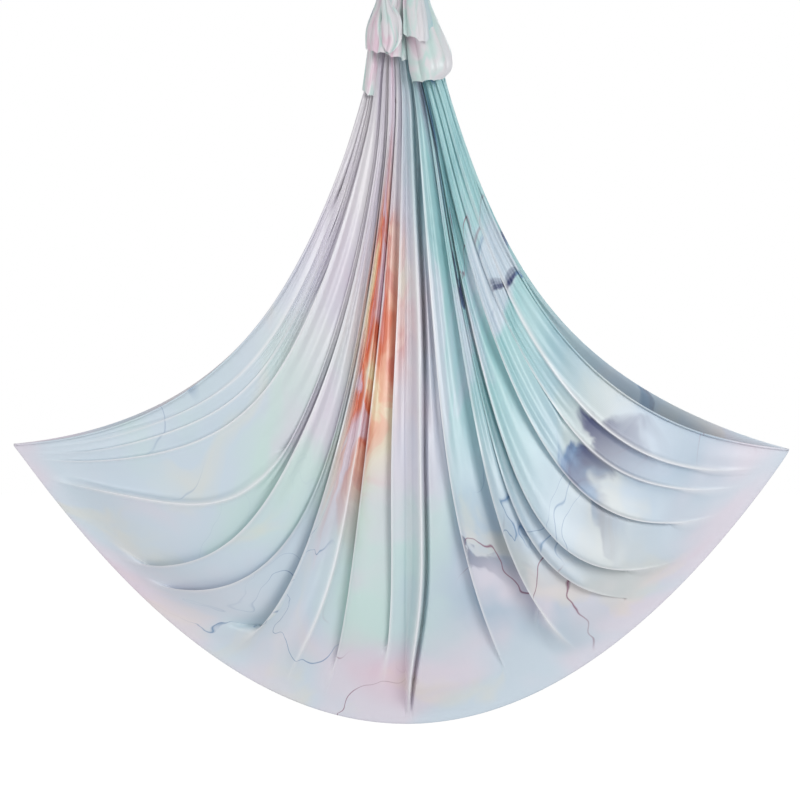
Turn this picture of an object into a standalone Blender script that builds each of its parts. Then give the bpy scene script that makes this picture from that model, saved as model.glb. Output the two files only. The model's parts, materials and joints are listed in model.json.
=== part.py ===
"""Aerial hammock: one long tricot panel whose two ends are gathered and knotted over the lower of two
locking carabiners, with a ball-bearing swivel between the carabiners. Metres, +Z up. The origin is the
inside top of the upper carabiner, where the anchor holds the part. +X runs from tip to tip of the panel,
and -Y is its front."""

import math

import bmesh
import bpy
import numpy as np
from mathutils import Matrix, Vector

# Clearances and mesh counts
SEAT_GAP = 0.0003
RUNNING_GAP = 0.0006
CUT_OVERRUN = 0.003
BAR_SIDES = 12
ROUND_SIDES = 32
RING_SIDES = 24
SMALL_SIDES = 12
ARC_STEPS = 6
SHARP_ANGLE_DEG = 35
MITRE_LIMIT_SHARE = 0.5

# Carabiner frame, one bent steel bar
BAR_DIAMETER = 0.012
CARABINER_HEIGHT = 0.118
CARABINER_WIDTH = 0.074
CORNER_RADIUS = 0.018
FRAME_END_DROP = 0.0078
TONGUE_THICKNESS = 0.005
TONGUE_RADIUS = 0.0055
NOSE_GAP = 0.0008
NOSE_KEY_DROP = 0.0078
NOSE_KEY_WIDTH = 0.009

# Gate, rivet and gate spring
HINGE_RISE = 0.008
NOSE_LENGTH = 0.0072
GATE_EAR_DROP = 0.004
GATE_SLOT_DEPTH = 0.0065
NOSE_SLOT_DEPTH = 0.008
SPRING_BORE_RADIUS = 0.0036
SPRING_BORE_WEB = 0.008
RIVET_RADIUS = 0.002
RIVET_HEAD_RADIUS = 0.0032
RIVET_HEAD_HEIGHT = 0.0009
PUSHER_HEAD_RADIUS = 0.0031
PUSHER_HEAD_HEIGHT = 0.0012
PUSHER_TIP_RADIUS = 0.002
PUSHER_STEM_RADIUS = 0.0017
PUSHER_STEM_LENGTH = 0.006
SPRING_RADIUS = 0.0027
SPRING_WIRE_RADIUS = 0.00045
SPRING_CURLS = 8
CURL_POINTS = 8
WIRE_SIDES = 6

# Lock sleeve, in its open place between the hinge and the nose key
SLEEVE_RADIUS = 0.009
SLEEVE_CHAMFER = 0.0012
SLEEVE_TOP_GAP = 0.0014
SLEEVE_HINGE_CLEARANCE = 0.0196
SLEEVE_GRIP_DEPTH = 0.0005

# Swivel eyes
EYE_RADIUS = 0.019
EYE_HOLE_RADIUS = 0.011
EYE_THICKNESS = 0.014
EYE_CHAMFER = 0.002

# Swivel shaft and housing
NECK_RADIUS = 0.009
NECK_SHOW = 0.003
NECK_DEPTH = 0.005
SHAFT_RADIUS = 0.006
SHAFT_DEPTH = 0.024
HOUSING_RADIUS = 0.019
HOUSING_BORE_RADIUS = 0.015
HOUSING_BORE_DEPTH = 0.0255
HOUSING_FLOOR = 0.005
HOUSING_WEB = 0.002
HOUSING_CHAMFER = 0.0015
CAP_FLANGE_HEIGHT = 0.004
CAP_SKIRT_DEPTH = 0.006
CAP_COUNTERBORE_DEPTH = 0.003
SEAL_WIDTH = 0.0021
SEAL_HEIGHT = 0.0024
SEAL_EDGE = 0.0006

# Thrust bearing, nut and pin
RACE_THICKNESS = 0.003
BALL_RADIUS = 0.002
BALL_CIRCLE_RADIUS = 0.0105
BALL_COUNT = 10
NUT_RADIUS = 0.0105
NUT_HEIGHT = 0.006
NUT_PIN_RADIUS = 0.001
NUT_PIN_LENGTH = 0.016
HEX_SIDES = 6

# Gathered cloth over the lower bar
BUNDLE_RADIUS = 0.0115
BUNDLE_PLEATS = 6
BUNDLE_PLEAT_DEPTH = 0.0008
KNOT_DROP = 0.050
KNOT_HEIGHT = 0.070
KNOT_HALF_WIDTH = 0.032
KNOT_HALF_DEPTH = 0.034
KNOT_SIDE = 0.0325
KNOT_FRONT = 0.010
KNOT_WRAP_DEPTH = 0.0035
KNOT_WRAPS = 3
KNOT_SIDES = 18
KNOT_RINGS = 12
LEG_SPREAD = 0.012
LEG_STEPS = 4
TURN_STEPS = 10

# Hammock panel
TIP_HALF_SPAN = 1.065
TIP_DROP = 1.345
TIP_TO_BOTTOM = 0.756
GATHER_SIDE = 0.030
GATHER_HALF_WIDTH = 0.026
GATHER_THICKNESS = 0.0195
CLOTH_THICKNESS = 0.004
POCKET_HALF_DEPTH = 0.095
PLEAT_DEPTH = 0.042
LEFT_BACK_RISE = 0.014
RIGHT_BACK_RISE = 0.055
RISE_LATENESS = 1.8
PANEL_ROWS = 11

# Tails below the knots
TAIL_TOP_HALF_WIDTH = 0.024
TAIL_FRONT = 0.030
TAIL_THICKNESS = 0.0185
TAIL_HEM_THICKNESS = 0.006
TAIL_LEAN = 0.055
TAIL_FOLD_DEPTH = 0.010
TAIL_FOLDS = 3
TAIL_FOLD_POINTS = 4
TAIL_ROWS = 8
LEFT_TAIL_LENGTH = 0.280
LEFT_TAIL_SIDE = 0.064
LEFT_TAIL_HALF_WIDTH = 0.048
RIGHT_TAIL_LENGTH = 0.344
RIGHT_TAIL_SIDE = 0.064
RIGHT_TAIL_HALF_WIDTH = 0.058

# Fold lines of the panel, from a selvedge (0) to its middle (1): how far out each meets the bottom fold, and
# how far it drops and leans out from the gather, and at what angle and how hard it is pulled in at the fold
LINE_PLACE_SHARES = (0.0, 0.06, 0.14, 0.22, 0.30, 0.38, 0.48, 0.58, 0.68, 0.78, 0.90, 1.0)
LINE_REACH_SHARES = (1.0, 0.995, 0.982, 0.955, 0.915, 0.86, 0.775, 0.665, 0.535, 0.385, 0.19, 0.0)
LINE_DROP_SHARES = (0.645, 0.662, 0.74, 0.84, 0.94, 1.02, 1.06, 1.02, 0.94, 0.84, 0.74, 0.70)
LINE_PULL_SHARES = (0.58, 0.58, 0.54, 0.52, 0.50, 0.47, 0.43, 0.37, 0.32, 0.29, 0.29, 0.30)
LINE_ANGLES_DEG = (4.0, 2.0, -6.0, -14.0, -22.0, -26.0, -24.0, -12.0, 12.0, 42.0, 74.0, 90.0)
LEFT_LEAN_SHARES = (0.125, 0.13, 0.125, 0.11, 0.098, 0.09, 0.08, 0.072, 0.06, 0.045, 0.02, 0.0)
RIGHT_LEAN_SHARES = (0.142, 0.14, 0.135, 0.13, 0.13, 0.135, 0.14, 0.14, 0.125, 0.09, 0.04, 0.0)

# Crests of the pleats among those fold lines, high on the panel and low on it
LEFT_CREST_HIGH_SHARES = (0.0, 0.15, 0.21, 0.28, 0.39, 0.44, 0.60, 0.71, 0.80)
LEFT_CREST_LOW_SHARES = (0.0, 0.07, 0.115, 0.16, 0.25, 0.465, 0.53, 0.72, 0.83)
RIGHT_CREST_HIGH_SHARES = (0.93, 0.88, 0.705, 0.62, 0.54, 0.34, 0.235, 0.165)
RIGHT_CREST_LOW_SHARES = (0.955, 0.84, 0.715, 0.56, 0.455, 0.335, 0.25, 0.185)

# One pleat from its crest to the foot of the next, and its height there
PLEAT_PLACE_SHARES = (0.0, 0.45, 0.85)
PLEAT_HEIGHT_SHARES = (1.0, 0.35, 0.0)

# Where down the panel, from the gather (0) to the bottom fold (1), it joins, opens, pleats and smooths out
GATHER_JOIN_SHARES = (0.0, 0.16)
BUNDLE_SHARES = (0.0, 0.3)
POCKET_OPEN_SHARES = (0.02, 0.6)
POCKET_CLOSE_SHARES = (0.55, 1.0)
CREST_SHIFT_SHARES = (0.45, 0.95)
PLEAT_START_SHARES = (0.05, 0.45)
PLEAT_END_SHARES = (0.62, 0.97)
RISE_ACROSS_SHARES = (0.6, 1.0)
TAIL_SPREAD_SHARES = (0.0, 0.5)

# Knot outline from top to bottom
KNOT_OUTLINE_SHARES = (0.74, 0.90, 0.98, 1.0, 1.0, 0.98, 0.92, 0.84)

# Places that follow from the sizes above
BAR_RADIUS = BAR_DIAMETER / 2
FRAME_HALF_WIDTH = (CARABINER_WIDTH - BAR_DIAMETER) / 2
FRAME_HEIGHT = CARABINER_HEIGHT - BAR_DIAMETER
GATE_REACH = FRAME_HEIGHT - 2 * CORNER_RADIUS - HINGE_RISE - NOSE_LENGTH - NOSE_GAP
SPRING_BORE_TOP = GATE_REACH - NOSE_SLOT_DEPTH - SPRING_BORE_WEB
SLEEVE_TOP = GATE_REACH + NOSE_GAP - NOSE_KEY_DROP - SLEEVE_TOP_GAP
SLEEVE_LENGTH = SLEEVE_TOP - SLEEVE_HINGE_CLEARANCE
HINGE_Z = -FRAME_HEIGHT + CORNER_RADIUS + HINGE_RISE
UPPER_BAR_Z = BAR_RADIUS - FRAME_HEIGHT
EYE_DROP = EYE_HOLE_RADIUS - BAR_RADIUS - SEAT_GAP
HOUSING_Z = UPPER_BAR_Z - EYE_DROP - EYE_RADIUS - NECK_SHOW - CAP_FLANGE_HEIGHT - SEAT_GAP
LOWER_EYE_DROP = HOUSING_BORE_DEPTH + HOUSING_FLOOR + HOUSING_WEB + EYE_HOLE_RADIUS
LOWER_CARABINER_Z = HOUSING_Z - LOWER_EYE_DROP - EYE_DROP
BUNDLE_SIDE = BUNDLE_RADIUS + SEAT_GAP / 2
BUNDLE_TURN_RADIUS = BAR_RADIUS + SEAT_GAP + BUNDLE_RADIUS
GATHER_DROP = KNOT_DROP + KNOT_HEIGHT + SEAT_GAP


def clear_scene():
    for obj in list(bpy.data.objects):
        bpy.data.objects.remove(obj, do_unlink=True)


def material(name, colour, roughness, metallic):
    made = bpy.data.materials.new(name)
    made.use_nodes = True
    shader = made.node_tree.nodes["Principled BSDF"]
    shader.inputs["Base Color"].default_value = (*colour, 1.0)
    shader.inputs["Roughness"].default_value = roughness
    shader.inputs["Metallic"].default_value = metallic
    return made


def body(name, parent, location):
    """An empty on a moving body's joint axis, which carries the body's pieces."""
    empty = bpy.data.objects.new(name, None)
    bpy.context.scene.collection.objects.link(empty)
    empty.parent = parent
    empty.location = location
    return empty


def piece(name, bm, parent, looks=None, location=(0, 0, 0)):
    """An object made from a bmesh, smooth where it is round."""
    bmesh.ops.recalc_face_normals(bm, faces=bm.faces)
    mesh = bpy.data.meshes.new(name)
    bm.to_mesh(mesh)
    bm.free()
    mesh.shade_smooth()
    mesh.set_sharp_from_angle(angle=math.radians(SHARP_ANGLE_DEG))
    obj = bpy.data.objects.new(name, mesh)
    bpy.context.scene.collection.objects.link(obj)
    obj.parent = parent
    obj.location = location
    if looks:
        mesh.materials.append(looks)
    return obj


def cut(target, tool, operation="DIFFERENCE"):
    """A Boolean with a helper that is left out of the build."""
    tool.hide_render = True
    tool.display_type = "WIRE"
    change = target.modifiers.new(tool.name, "BOOLEAN")
    change.operation = operation
    change.solver = "EXACT"
    change.object = tool


def rings_to_solid(bm, rings, closed_rings=False):
    """Faces between rings of points, with flat ends or, for a ring-shaped solid, the last ring joined on."""
    levels = [[bm.verts.new(point) for point in ring] for ring in rings]
    sides = len(levels[0])
    pairs = list(zip(levels, levels[1:]))
    if closed_rings:
        pairs.append((levels[-1], levels[0]))
    for low, high in pairs:
        for i in range(sides):
            j = (i + 1) % sides
            bm.faces.new((low[i], low[j], high[j], high[i]))
    if not closed_rings:
        bm.faces.new(levels[0])
        bm.faces.new(levels[-1])


def turned(profile, sides=RING_SIDES, hollow=False):
    """A solid turned about Z from (radius, height) pairs. A hollow profile is a closed outline."""
    bm = bmesh.new()
    angles = [2 * math.pi * i / sides for i in range(sides)]
    rings = [[(r * math.cos(a), r * math.sin(a), z) for a in angles] for r, z in profile]
    rings_to_solid(bm, rings, closed_rings=hollow)
    return bm


def tube(points, radius, sides, pleats=0, pleat_depth=0.0):
    """A round bar along a path, its ring turned from point to point without twist."""
    bm = bmesh.new()
    points = [Vector(point) for point in points]
    ahead = [(b - a).normalized() for a, b in zip(points, points[1:])]
    along = [ahead[0]]
    along += [(a + b).normalized() for a, b in zip(ahead, ahead[1:])]
    along.append(ahead[-1])
    side = along[0].orthogonal().normalized()
    rings = []
    for i, (point, way) in enumerate(zip(points, along)):
        side = (side - way * side.dot(way)).normalized()
        other = way.cross(side)
        mitre = 1.0
        if 0 < i < len(points) - 1:
            mitre = 1 / max(way.dot(ahead[i]), MITRE_LIMIT_SHARE)
        bend = ahead[min(i, len(ahead) - 1)] - ahead[max(i - 1, 0)]
        ring = []
        for k in range(sides):
            angle = 2 * math.pi * k / sides
            reach = radius - pleat_depth * (1 - math.cos(pleats * angle)) / 2
            out = side * math.cos(angle) + other * math.sin(angle)
            if bend.length > 0:
                bend.normalize()
                out = out + bend * out.dot(bend) * (mitre - 1)
            ring.append(point + out * reach)
        rings.append(ring)
    rings_to_solid(bm, rings)
    return bm


def plate(outline, thickness):
    """A flat plate: an (x, z) outline given thickness along Y, centred on the XZ plane."""
    bm = bmesh.new()
    front = [(x, -thickness / 2, z) for x, z in outline]
    back = [(x, thickness / 2, z) for x, z in outline]
    rings_to_solid(bm, [front, back])
    return bm


def box(size):
    bm = bmesh.new()
    bmesh.ops.create_cube(bm, size=1.0, matrix=Matrix.Diagonal((*size, 1.0)))
    return bm


def turned_to(bm, axis):
    """The same solid with its Z axis laid along X or Y."""
    angle = math.radians(90)
    bmesh.ops.rotate(bm, verts=bm.verts, matrix=Matrix.Rotation(angle, 3, "Y" if axis == "X" else "X"))
    return bm


def rod(radius, length, axis, sides=SMALL_SIDES):
    return turned_to(turned([(radius, -length / 2), (radius, length / 2)], sides), axis)


def arc(centre, radius, start_deg, end_deg, steps=ARC_STEPS):
    """Points along an arc in the XZ plane."""
    found = []
    for i in range(steps + 1):
        angle = math.radians(start_deg + (end_deg - start_deg) * i / steps)
        found.append((centre[0] + radius * math.cos(angle), centre[1] + radius * math.sin(angle)))
    return found


def frame_path():
    """The bar's centre line, from below the gate's hinge round to the nose."""
    inner_x = FRAME_HALF_WIDTH - CORNER_RADIUS
    top_z = -CORNER_RADIUS
    low_z = CORNER_RADIUS - FRAME_HEIGHT
    path = [(FRAME_HALF_WIDTH, HINGE_Z - FRAME_END_DROP)]
    path += arc((inner_x, low_z), CORNER_RADIUS, 0, -90)
    path += arc((-inner_x, low_z), CORNER_RADIUS, -90, -180)
    path += arc((-inner_x, top_z), CORNER_RADIUS, 180, 90)
    path += arc((inner_x, top_z), CORNER_RADIUS, 90, 0)
    path.append((FRAME_HALF_WIDTH, HINGE_Z + GATE_REACH + NOSE_GAP))
    return [(x, 0, z) for x, z in path]


def carabiner_frame(name, parent, steel):
    obj = piece(name, tube(frame_path(), BAR_RADIUS, BAR_SIDES), parent, steel)
    low = HINGE_Z - FRAME_END_DROP - CUT_OVERRUN
    outline = [(-TONGUE_RADIUS, low - HINGE_Z), (TONGUE_RADIUS, low - HINGE_Z)]
    outline += arc((0, 0), TONGUE_RADIUS, 0, 180, 2 * ARC_STEPS)
    hinge = (FRAME_HALF_WIDTH, 0, HINGE_Z)
    cut(obj, piece(f"{name}.tongue", plate(outline, TONGUE_THICKNESS), parent, location=hinge), "UNION")
    key_height = NOSE_KEY_DROP + CUT_OVERRUN
    key_z = HINGE_Z + GATE_REACH + NOSE_GAP - NOSE_KEY_DROP + key_height / 2
    key = box((NOSE_KEY_WIDTH, TONGUE_THICKNESS, key_height))
    cut(obj, piece(f"{name}.key", key, parent, location=(FRAME_HALF_WIDTH, 0, key_z)), "UNION")
    hole = rod(RIVET_RADIUS + SEAT_GAP, BAR_DIAMETER, "Y")
    cut(obj, piece(f"{name}.rivet_hole", hole, parent, location=hinge))
    return obj


def gate(name, parent, steel):
    """The gate about its hinge: a bar slotted at both ends and bored for its spring."""
    obj = piece(name, turned([(BAR_RADIUS, -GATE_EAR_DROP), (BAR_RADIUS, GATE_REACH)]), parent, steel)
    slot = TONGUE_THICKNESS + RUNNING_GAP
    low_height = GATE_EAR_DROP + GATE_SLOT_DEPTH + CUT_OVERRUN
    low = box((BAR_DIAMETER + CUT_OVERRUN, slot, low_height))
    low_z = GATE_SLOT_DEPTH - low_height / 2
    cut(obj, piece(f"{name}.hinge_slot", low, parent, location=(0, 0, low_z)))
    high_height = NOSE_SLOT_DEPTH + CUT_OVERRUN
    high = box((BAR_DIAMETER + CUT_OVERRUN, slot, high_height))
    high_z = GATE_REACH - NOSE_SLOT_DEPTH + high_height / 2
    cut(obj, piece(f"{name}.nose_slot", high, parent, location=(0, 0, high_z)))
    hole = rod(RIVET_RADIUS + SEAT_GAP, BAR_DIAMETER + CUT_OVERRUN, "Y")
    cut(obj, piece(f"{name}.rivet_hole", hole, parent))
    bore_ends = [(SPRING_BORE_RADIUS, GATE_SLOT_DEPTH - CUT_OVERRUN), (SPRING_BORE_RADIUS, SPRING_BORE_TOP)]
    bore = turned(bore_ends, SMALL_SIDES)
    cut(obj, piece(f"{name}.spring_bore", bore, parent))
    return obj


def rivet(name, parent, location, steel):
    shank = BAR_RADIUS + SEAT_GAP
    top = shank + RIVET_HEAD_HEIGHT
    profile = [(RIVET_RADIUS, -top), (RIVET_HEAD_RADIUS, -shank - SEAT_GAP), (RIVET_HEAD_RADIUS, -shank)]
    profile += [(RIVET_RADIUS, -shank), (RIVET_RADIUS, shank)]
    profile += [(RIVET_HEAD_RADIUS, shank), (RIVET_HEAD_RADIUS, shank + SEAT_GAP), (RIVET_RADIUS, top)]
    return piece(name, turned_to(turned(profile, SMALL_SIDES), "Y"), parent, steel, location)


def spring_pusher(name, parent, steel):
    """The pin between the gate spring and the hinge tongue."""
    tip_z = TONGUE_RADIUS + SEAT_GAP
    head_z = tip_z + RUNNING_GAP + PUSHER_HEAD_HEIGHT
    stem_z = head_z + PUSHER_STEM_LENGTH
    profile = [(PUSHER_TIP_RADIUS, tip_z), (PUSHER_HEAD_RADIUS, tip_z + RUNNING_GAP)]
    profile += [(PUSHER_HEAD_RADIUS, head_z), (PUSHER_STEM_RADIUS, head_z), (PUSHER_STEM_RADIUS, stem_z)]
    return piece(name, turned(profile, SMALL_SIDES), parent, steel)


def gate_spring(name, parent, steel):
    """A compression spring between the pusher's head and the end of the gate's bore."""
    head_z = TONGUE_RADIUS + SEAT_GAP + RUNNING_GAP + PUSHER_HEAD_HEIGHT
    low = head_z + SEAT_GAP + SPRING_WIRE_RADIUS
    high = SPRING_BORE_TOP - SEAT_GAP - SPRING_WIRE_RADIUS
    points = []
    for i in range(SPRING_CURLS * CURL_POINTS + 1):
        share = i / (SPRING_CURLS * CURL_POINTS)
        angle = 2 * math.pi * SPRING_CURLS * share
        height = low + (high - low) * share
        points.append((SPRING_RADIUS * math.cos(angle), SPRING_RADIUS * math.sin(angle), height))
    return piece(name, tube(points, SPRING_WIRE_RADIUS, WIRE_SIDES), parent, steel)


def lock_sleeve(name, parent, location, metal):
    """The screw sleeve in its open place, just below the nose key, with a ribbed grip."""
    inner = BAR_RADIUS + RUNNING_GAP
    outer = SLEEVE_RADIUS
    low = SLEEVE_CHAMFER
    high = SLEEVE_LENGTH - SLEEVE_CHAMFER
    profile = [(inner, 0), (outer - SLEEVE_CHAMFER, 0), (outer, low), (outer, 2 * low)]
    profile += [(outer, high - low), (outer, high), (outer - SLEEVE_CHAMFER, SLEEVE_LENGTH)]
    profile.append((inner, SLEEVE_LENGTH))
    bm = turned(profile, ROUND_SIDES, hollow=True)
    for vert in bm.verts:
        angle = math.atan2(vert.co.y, vert.co.x)
        on_rim = math.hypot(vert.co.x, vert.co.y) > outer - SEAT_GAP
        on_grip = on_rim and 2 * low - SEAT_GAP < vert.co.z < high - low + SEAT_GAP
        if on_grip and round(angle * ROUND_SIDES / (2 * math.pi)) % 2:
            vert.co.x *= 1 - SLEEVE_GRIP_DEPTH / outer
            vert.co.y *= 1 - SLEEVE_GRIP_DEPTH / outer
    return piece(name, bm, parent, metal, location)


def carabiner(prefix, frame_body, looks):
    """Every piece of one locking carabiner, with its origin at the centre of its top bar."""
    carabiner_frame(f"{prefix}_carabiner_frame", frame_body, looks["steel"])
    hinge = (FRAME_HALF_WIDTH, 0, HINGE_Z)
    rivet(f"{prefix}_gate_rivet", frame_body, hinge, looks["bright_steel"])
    gate_body = body(f"{prefix}_gate_body", frame_body, hinge)
    gate(f"{prefix}_gate", gate_body, looks["steel"])
    spring_pusher(f"{prefix}_spring_pusher", gate_body, looks["bright_steel"])
    gate_spring(f"{prefix}_gate_spring", gate_body, looks["spring_steel"])
    sleeve_body = body(f"{prefix}_sleeve_body", gate_body, (0, 0, SLEEVE_HINGE_CLEARANCE))
    lock_sleeve(f"{prefix}_lock_sleeve", sleeve_body, (0, 0, 0), looks["sleeve"])


def eye_disc(drop):
    """A thick disc across the bar, chamfered, whose middle lies at the drop given."""
    half = EYE_THICKNESS / 2
    rim = EYE_RADIUS - EYE_CHAMFER
    profile = [(rim, -half), (EYE_RADIUS, EYE_CHAMFER - half), (EYE_RADIUS, half - EYE_CHAMFER), (rim, half)]
    bm = turned_to(turned(profile, ROUND_SIDES), "X")
    bmesh.ops.translate(bm, verts=bm.verts, vec=(0, 0, -drop))
    return bm


def eye_hole(name, target, parent, drop):
    hole = rod(EYE_HOLE_RADIUS, EYE_THICKNESS + CUT_OVERRUN, "X", ROUND_SIDES)
    cut(target, piece(name, hole, parent, location=(0, 0, -drop)))


def swivel_eye(parent, steel):
    """The upper eye with its neck and shaft, about the upper bar's axis."""
    top = HOUSING_Z - UPPER_BAR_Z
    neck_top = -EYE_DROP - EYE_HOLE_RADIUS - CUT_OVERRUN
    profile = [(NECK_RADIUS, neck_top), (NECK_RADIUS, top - NECK_DEPTH), (SHAFT_RADIUS, top - NECK_DEPTH)]
    profile.append((SHAFT_RADIUS, top - SHAFT_DEPTH))
    obj = piece("swivel_eye", eye_disc(EYE_DROP), parent, steel)
    shaft = piece("swivel_eye.shaft", turned(profile), parent)
    cut(obj, shaft, "UNION")
    eye_hole("swivel_eye.hole", obj, parent, EYE_DROP)
    pin_z = top - nut_middle()
    hole = rod(NUT_PIN_RADIUS + SEAT_GAP, EYE_THICKNESS, "X", SMALL_SIDES)
    cut(obj, piece("swivel_eye.pin_hole", hole, parent, location=(0, 0, pin_z)))
    return obj


def race_depths():
    """The top faces of the upper race, the balls, the lower race and the nut, below the housing's rim."""
    upper = CAP_SKIRT_DEPTH + SEAT_GAP
    balls = upper + RACE_THICKNESS + SEAT_GAP
    lower = balls + 2 * BALL_RADIUS + SEAT_GAP
    nut = lower + RACE_THICKNESS + SEAT_GAP
    return upper, balls, lower, nut


def nut_middle():
    return race_depths()[3] + NUT_HEIGHT / 2


def swivel_housing(parent, metal):
    """The cup with the lower eye, whose rim is at the body's origin."""
    outer = HOUSING_RADIUS
    bottom = -HOUSING_BORE_DEPTH - HOUSING_FLOOR
    profile = [(outer - HOUSING_CHAMFER, bottom), (outer, bottom + HOUSING_CHAMFER), (outer, 0)]
    profile += [(HOUSING_BORE_RADIUS, 0), (HOUSING_BORE_RADIUS, -HOUSING_BORE_DEPTH)]
    obj = piece("swivel_housing", turned(profile, ROUND_SIDES), parent, metal)
    cut(obj, piece("swivel_housing.eye", eye_disc(LOWER_EYE_DROP), parent), "UNION")
    bore_ends = [(HOUSING_BORE_RADIUS, -HOUSING_BORE_DEPTH), (HOUSING_BORE_RADIUS, CUT_OVERRUN)]
    cut(obj, piece("swivel_housing.bore", turned(bore_ends, ROUND_SIDES), parent))
    eye_hole("swivel_housing.hole", obj, parent, LOWER_EYE_DROP)
    return obj


def swivel_cap(parent, metal):
    """The threaded cap that keeps the bearing in, with a counterbore for the seal."""
    outer = HOUSING_RADIUS
    skirt = HOUSING_BORE_RADIUS - SEAT_GAP
    inner = NECK_RADIUS + RUNNING_GAP
    seat = NECK_RADIUS + SEAT_GAP + SEAL_WIDTH + SEAT_GAP
    top = SEAT_GAP + CAP_FLANGE_HEIGHT
    profile = [(inner, -CAP_SKIRT_DEPTH), (skirt, -CAP_SKIRT_DEPTH), (skirt, SEAT_GAP), (outer, SEAT_GAP)]
    profile += [(outer, top - HOUSING_CHAMFER), (outer - HOUSING_CHAMFER, top), (seat, top)]
    profile += [(seat, top - CAP_COUNTERBORE_DEPTH), (inner, top - CAP_COUNTERBORE_DEPTH)]
    return piece("swivel_cap", turned(profile, ROUND_SIDES, hollow=True), parent, metal)


def swivel_seal(parent, rubber):
    inner = NECK_RADIUS + SEAT_GAP
    outer = inner + SEAL_WIDTH
    low = SEAT_GAP + CAP_FLANGE_HEIGHT - CAP_COUNTERBORE_DEPTH + SEAT_GAP
    high = low + SEAL_HEIGHT
    profile = [(inner, low), (outer, low), (outer, high - SEAL_EDGE)]
    profile += [(outer - SEAL_EDGE, high), (inner, high)]
    return piece("swivel_seal", turned(profile, hollow=True), parent, rubber)


def bearing_race(name, parent, top, inner, steel):
    outer = HOUSING_BORE_RADIUS - RUNNING_GAP
    profile = [(inner, top - RACE_THICKNESS), (outer, top - RACE_THICKNESS), (outer, top), (inner, top)]
    return piece(name, turned(profile, hollow=True), parent, steel)


def bearing_balls(parent, top, steel):
    for i in range(BALL_COUNT):
        angle = 2 * math.pi * i / BALL_COUNT
        x = BALL_CIRCLE_RADIUS * math.cos(angle)
        place = (x, BALL_CIRCLE_RADIUS * math.sin(angle), top - BALL_RADIUS)
        bm = bmesh.new()
        bmesh.ops.create_icosphere(bm, subdivisions=1, radius=BALL_RADIUS)
        piece(f"bearing_ball_{i + 1}", bm, parent, steel, place)


def shaft_nut(parent, top, steel):
    low = top - NUT_HEIGHT
    obj = piece("shaft_nut", turned([(NUT_RADIUS, low), (NUT_RADIUS, top)], HEX_SIDES), parent, steel)
    hole_radius = SHAFT_RADIUS + SEAT_GAP
    shaft_hole = turned([(hole_radius, low - CUT_OVERRUN), (hole_radius, top + CUT_OVERRUN)])
    cut(obj, piece("shaft_nut.shaft_hole", shaft_hole, parent))
    pin_hole = rod(NUT_PIN_RADIUS + SEAT_GAP, 2 * NUT_RADIUS + CUT_OVERRUN, "X")
    cut(obj, piece("shaft_nut.pin_hole", pin_hole, parent, location=(0, 0, top - NUT_HEIGHT / 2)))
    return obj


def swivel(eye_body, housing_body, looks):
    """The bearing hangs the housing's cap on the nut at the end of the eye's shaft."""
    upper, balls, lower, nut = race_depths()
    rim = HOUSING_Z - UPPER_BAR_Z
    swivel_eye(eye_body, looks["steel"])
    seat_hole = SHAFT_RADIUS + SEAT_GAP
    bearing_race("lower_bearing_race", eye_body, rim - lower, seat_hole, looks["bright_steel"])
    bearing_balls(eye_body, rim - balls, looks["bright_steel"])
    shaft_nut(eye_body, rim - nut, looks["bright_steel"])
    pin = rod(NUT_PIN_RADIUS, NUT_PIN_LENGTH, "X")
    piece("nut_pin", pin, eye_body, looks["spring_steel"], (0, 0, rim - nut_middle()))
    swivel_housing(housing_body, looks["alloy"])
    swivel_cap(housing_body, looks["alloy"])
    swivel_seal(housing_body, looks["rubber"])
    race_hole = SHAFT_RADIUS + RUNNING_GAP
    bearing_race("upper_bearing_race", housing_body, -upper, race_hole, looks["bright_steel"])


def read_table(values, place):
    """A value read from a table of fold lines, on a smooth curve through its entries, level at the middle."""
    slopes = np.gradient(values, LINE_PLACE_SHARES)
    slopes[-1] = 0.0
    index = int(np.clip(np.searchsorted(LINE_PLACE_SHARES, place, side="right") - 1, 0, len(values) - 2))
    width = LINE_PLACE_SHARES[index + 1] - LINE_PLACE_SHARES[index]
    share = (place - LINE_PLACE_SHARES[index]) / width
    square = share * share
    cube = square * share
    found = (2 * cube - 3 * square + 1) * values[index] + (3 * square - 2 * cube) * values[index + 1]
    return found + width * ((cube - 2 * square + share) * slopes[index] + (cube - square) * slopes[index + 1])


def fold_line(across, down):
    """A point (x, z) of the panel: across from -1 to 1, selvedge to selvedge, and down from gather to fold.

    Each line leaves the gather steeply, swings out in a swag and meets the bottom fold's parabola."""
    side = 1 if across >= 0 else -1
    place = 1 - abs(across)
    reach = read_table(LINE_REACH_SHARES, place)
    start = Vector((across * GATHER_HALF_WIDTH, -GATHER_DROP))
    end = Vector((side * TIP_HALF_SPAN * reach, -GATHER_DROP - TIP_DROP - TIP_TO_BOTTOM * (1 - reach * reach)))
    drop = TIP_DROP * read_table(LINE_DROP_SHARES, place)
    lean = TIP_DROP * read_table(LEFT_LEAN_SHARES if side < 0 else RIGHT_LEAN_SHARES, place)
    pull = TIP_HALF_SPAN * read_table(LINE_PULL_SHARES, place)
    angle = math.radians(read_table(LINE_ANGLES_DEG, place))
    first = start + Vector((side * lean, -drop))
    second = end + Vector((-side * math.cos(angle), math.sin(angle))) * pull
    up = 1 - down
    return start * up**3 + first * 3 * up * up * down + second * 3 * up * down * down + end * down**3


def smooth_step(span, value):
    """0 before the span of shares, 1 after it, and an even curve between."""
    low, high = span
    share = min(max((value - low) / (high - low), 0.0), 1.0)
    return share * share * (3 - 2 * share)


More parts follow.
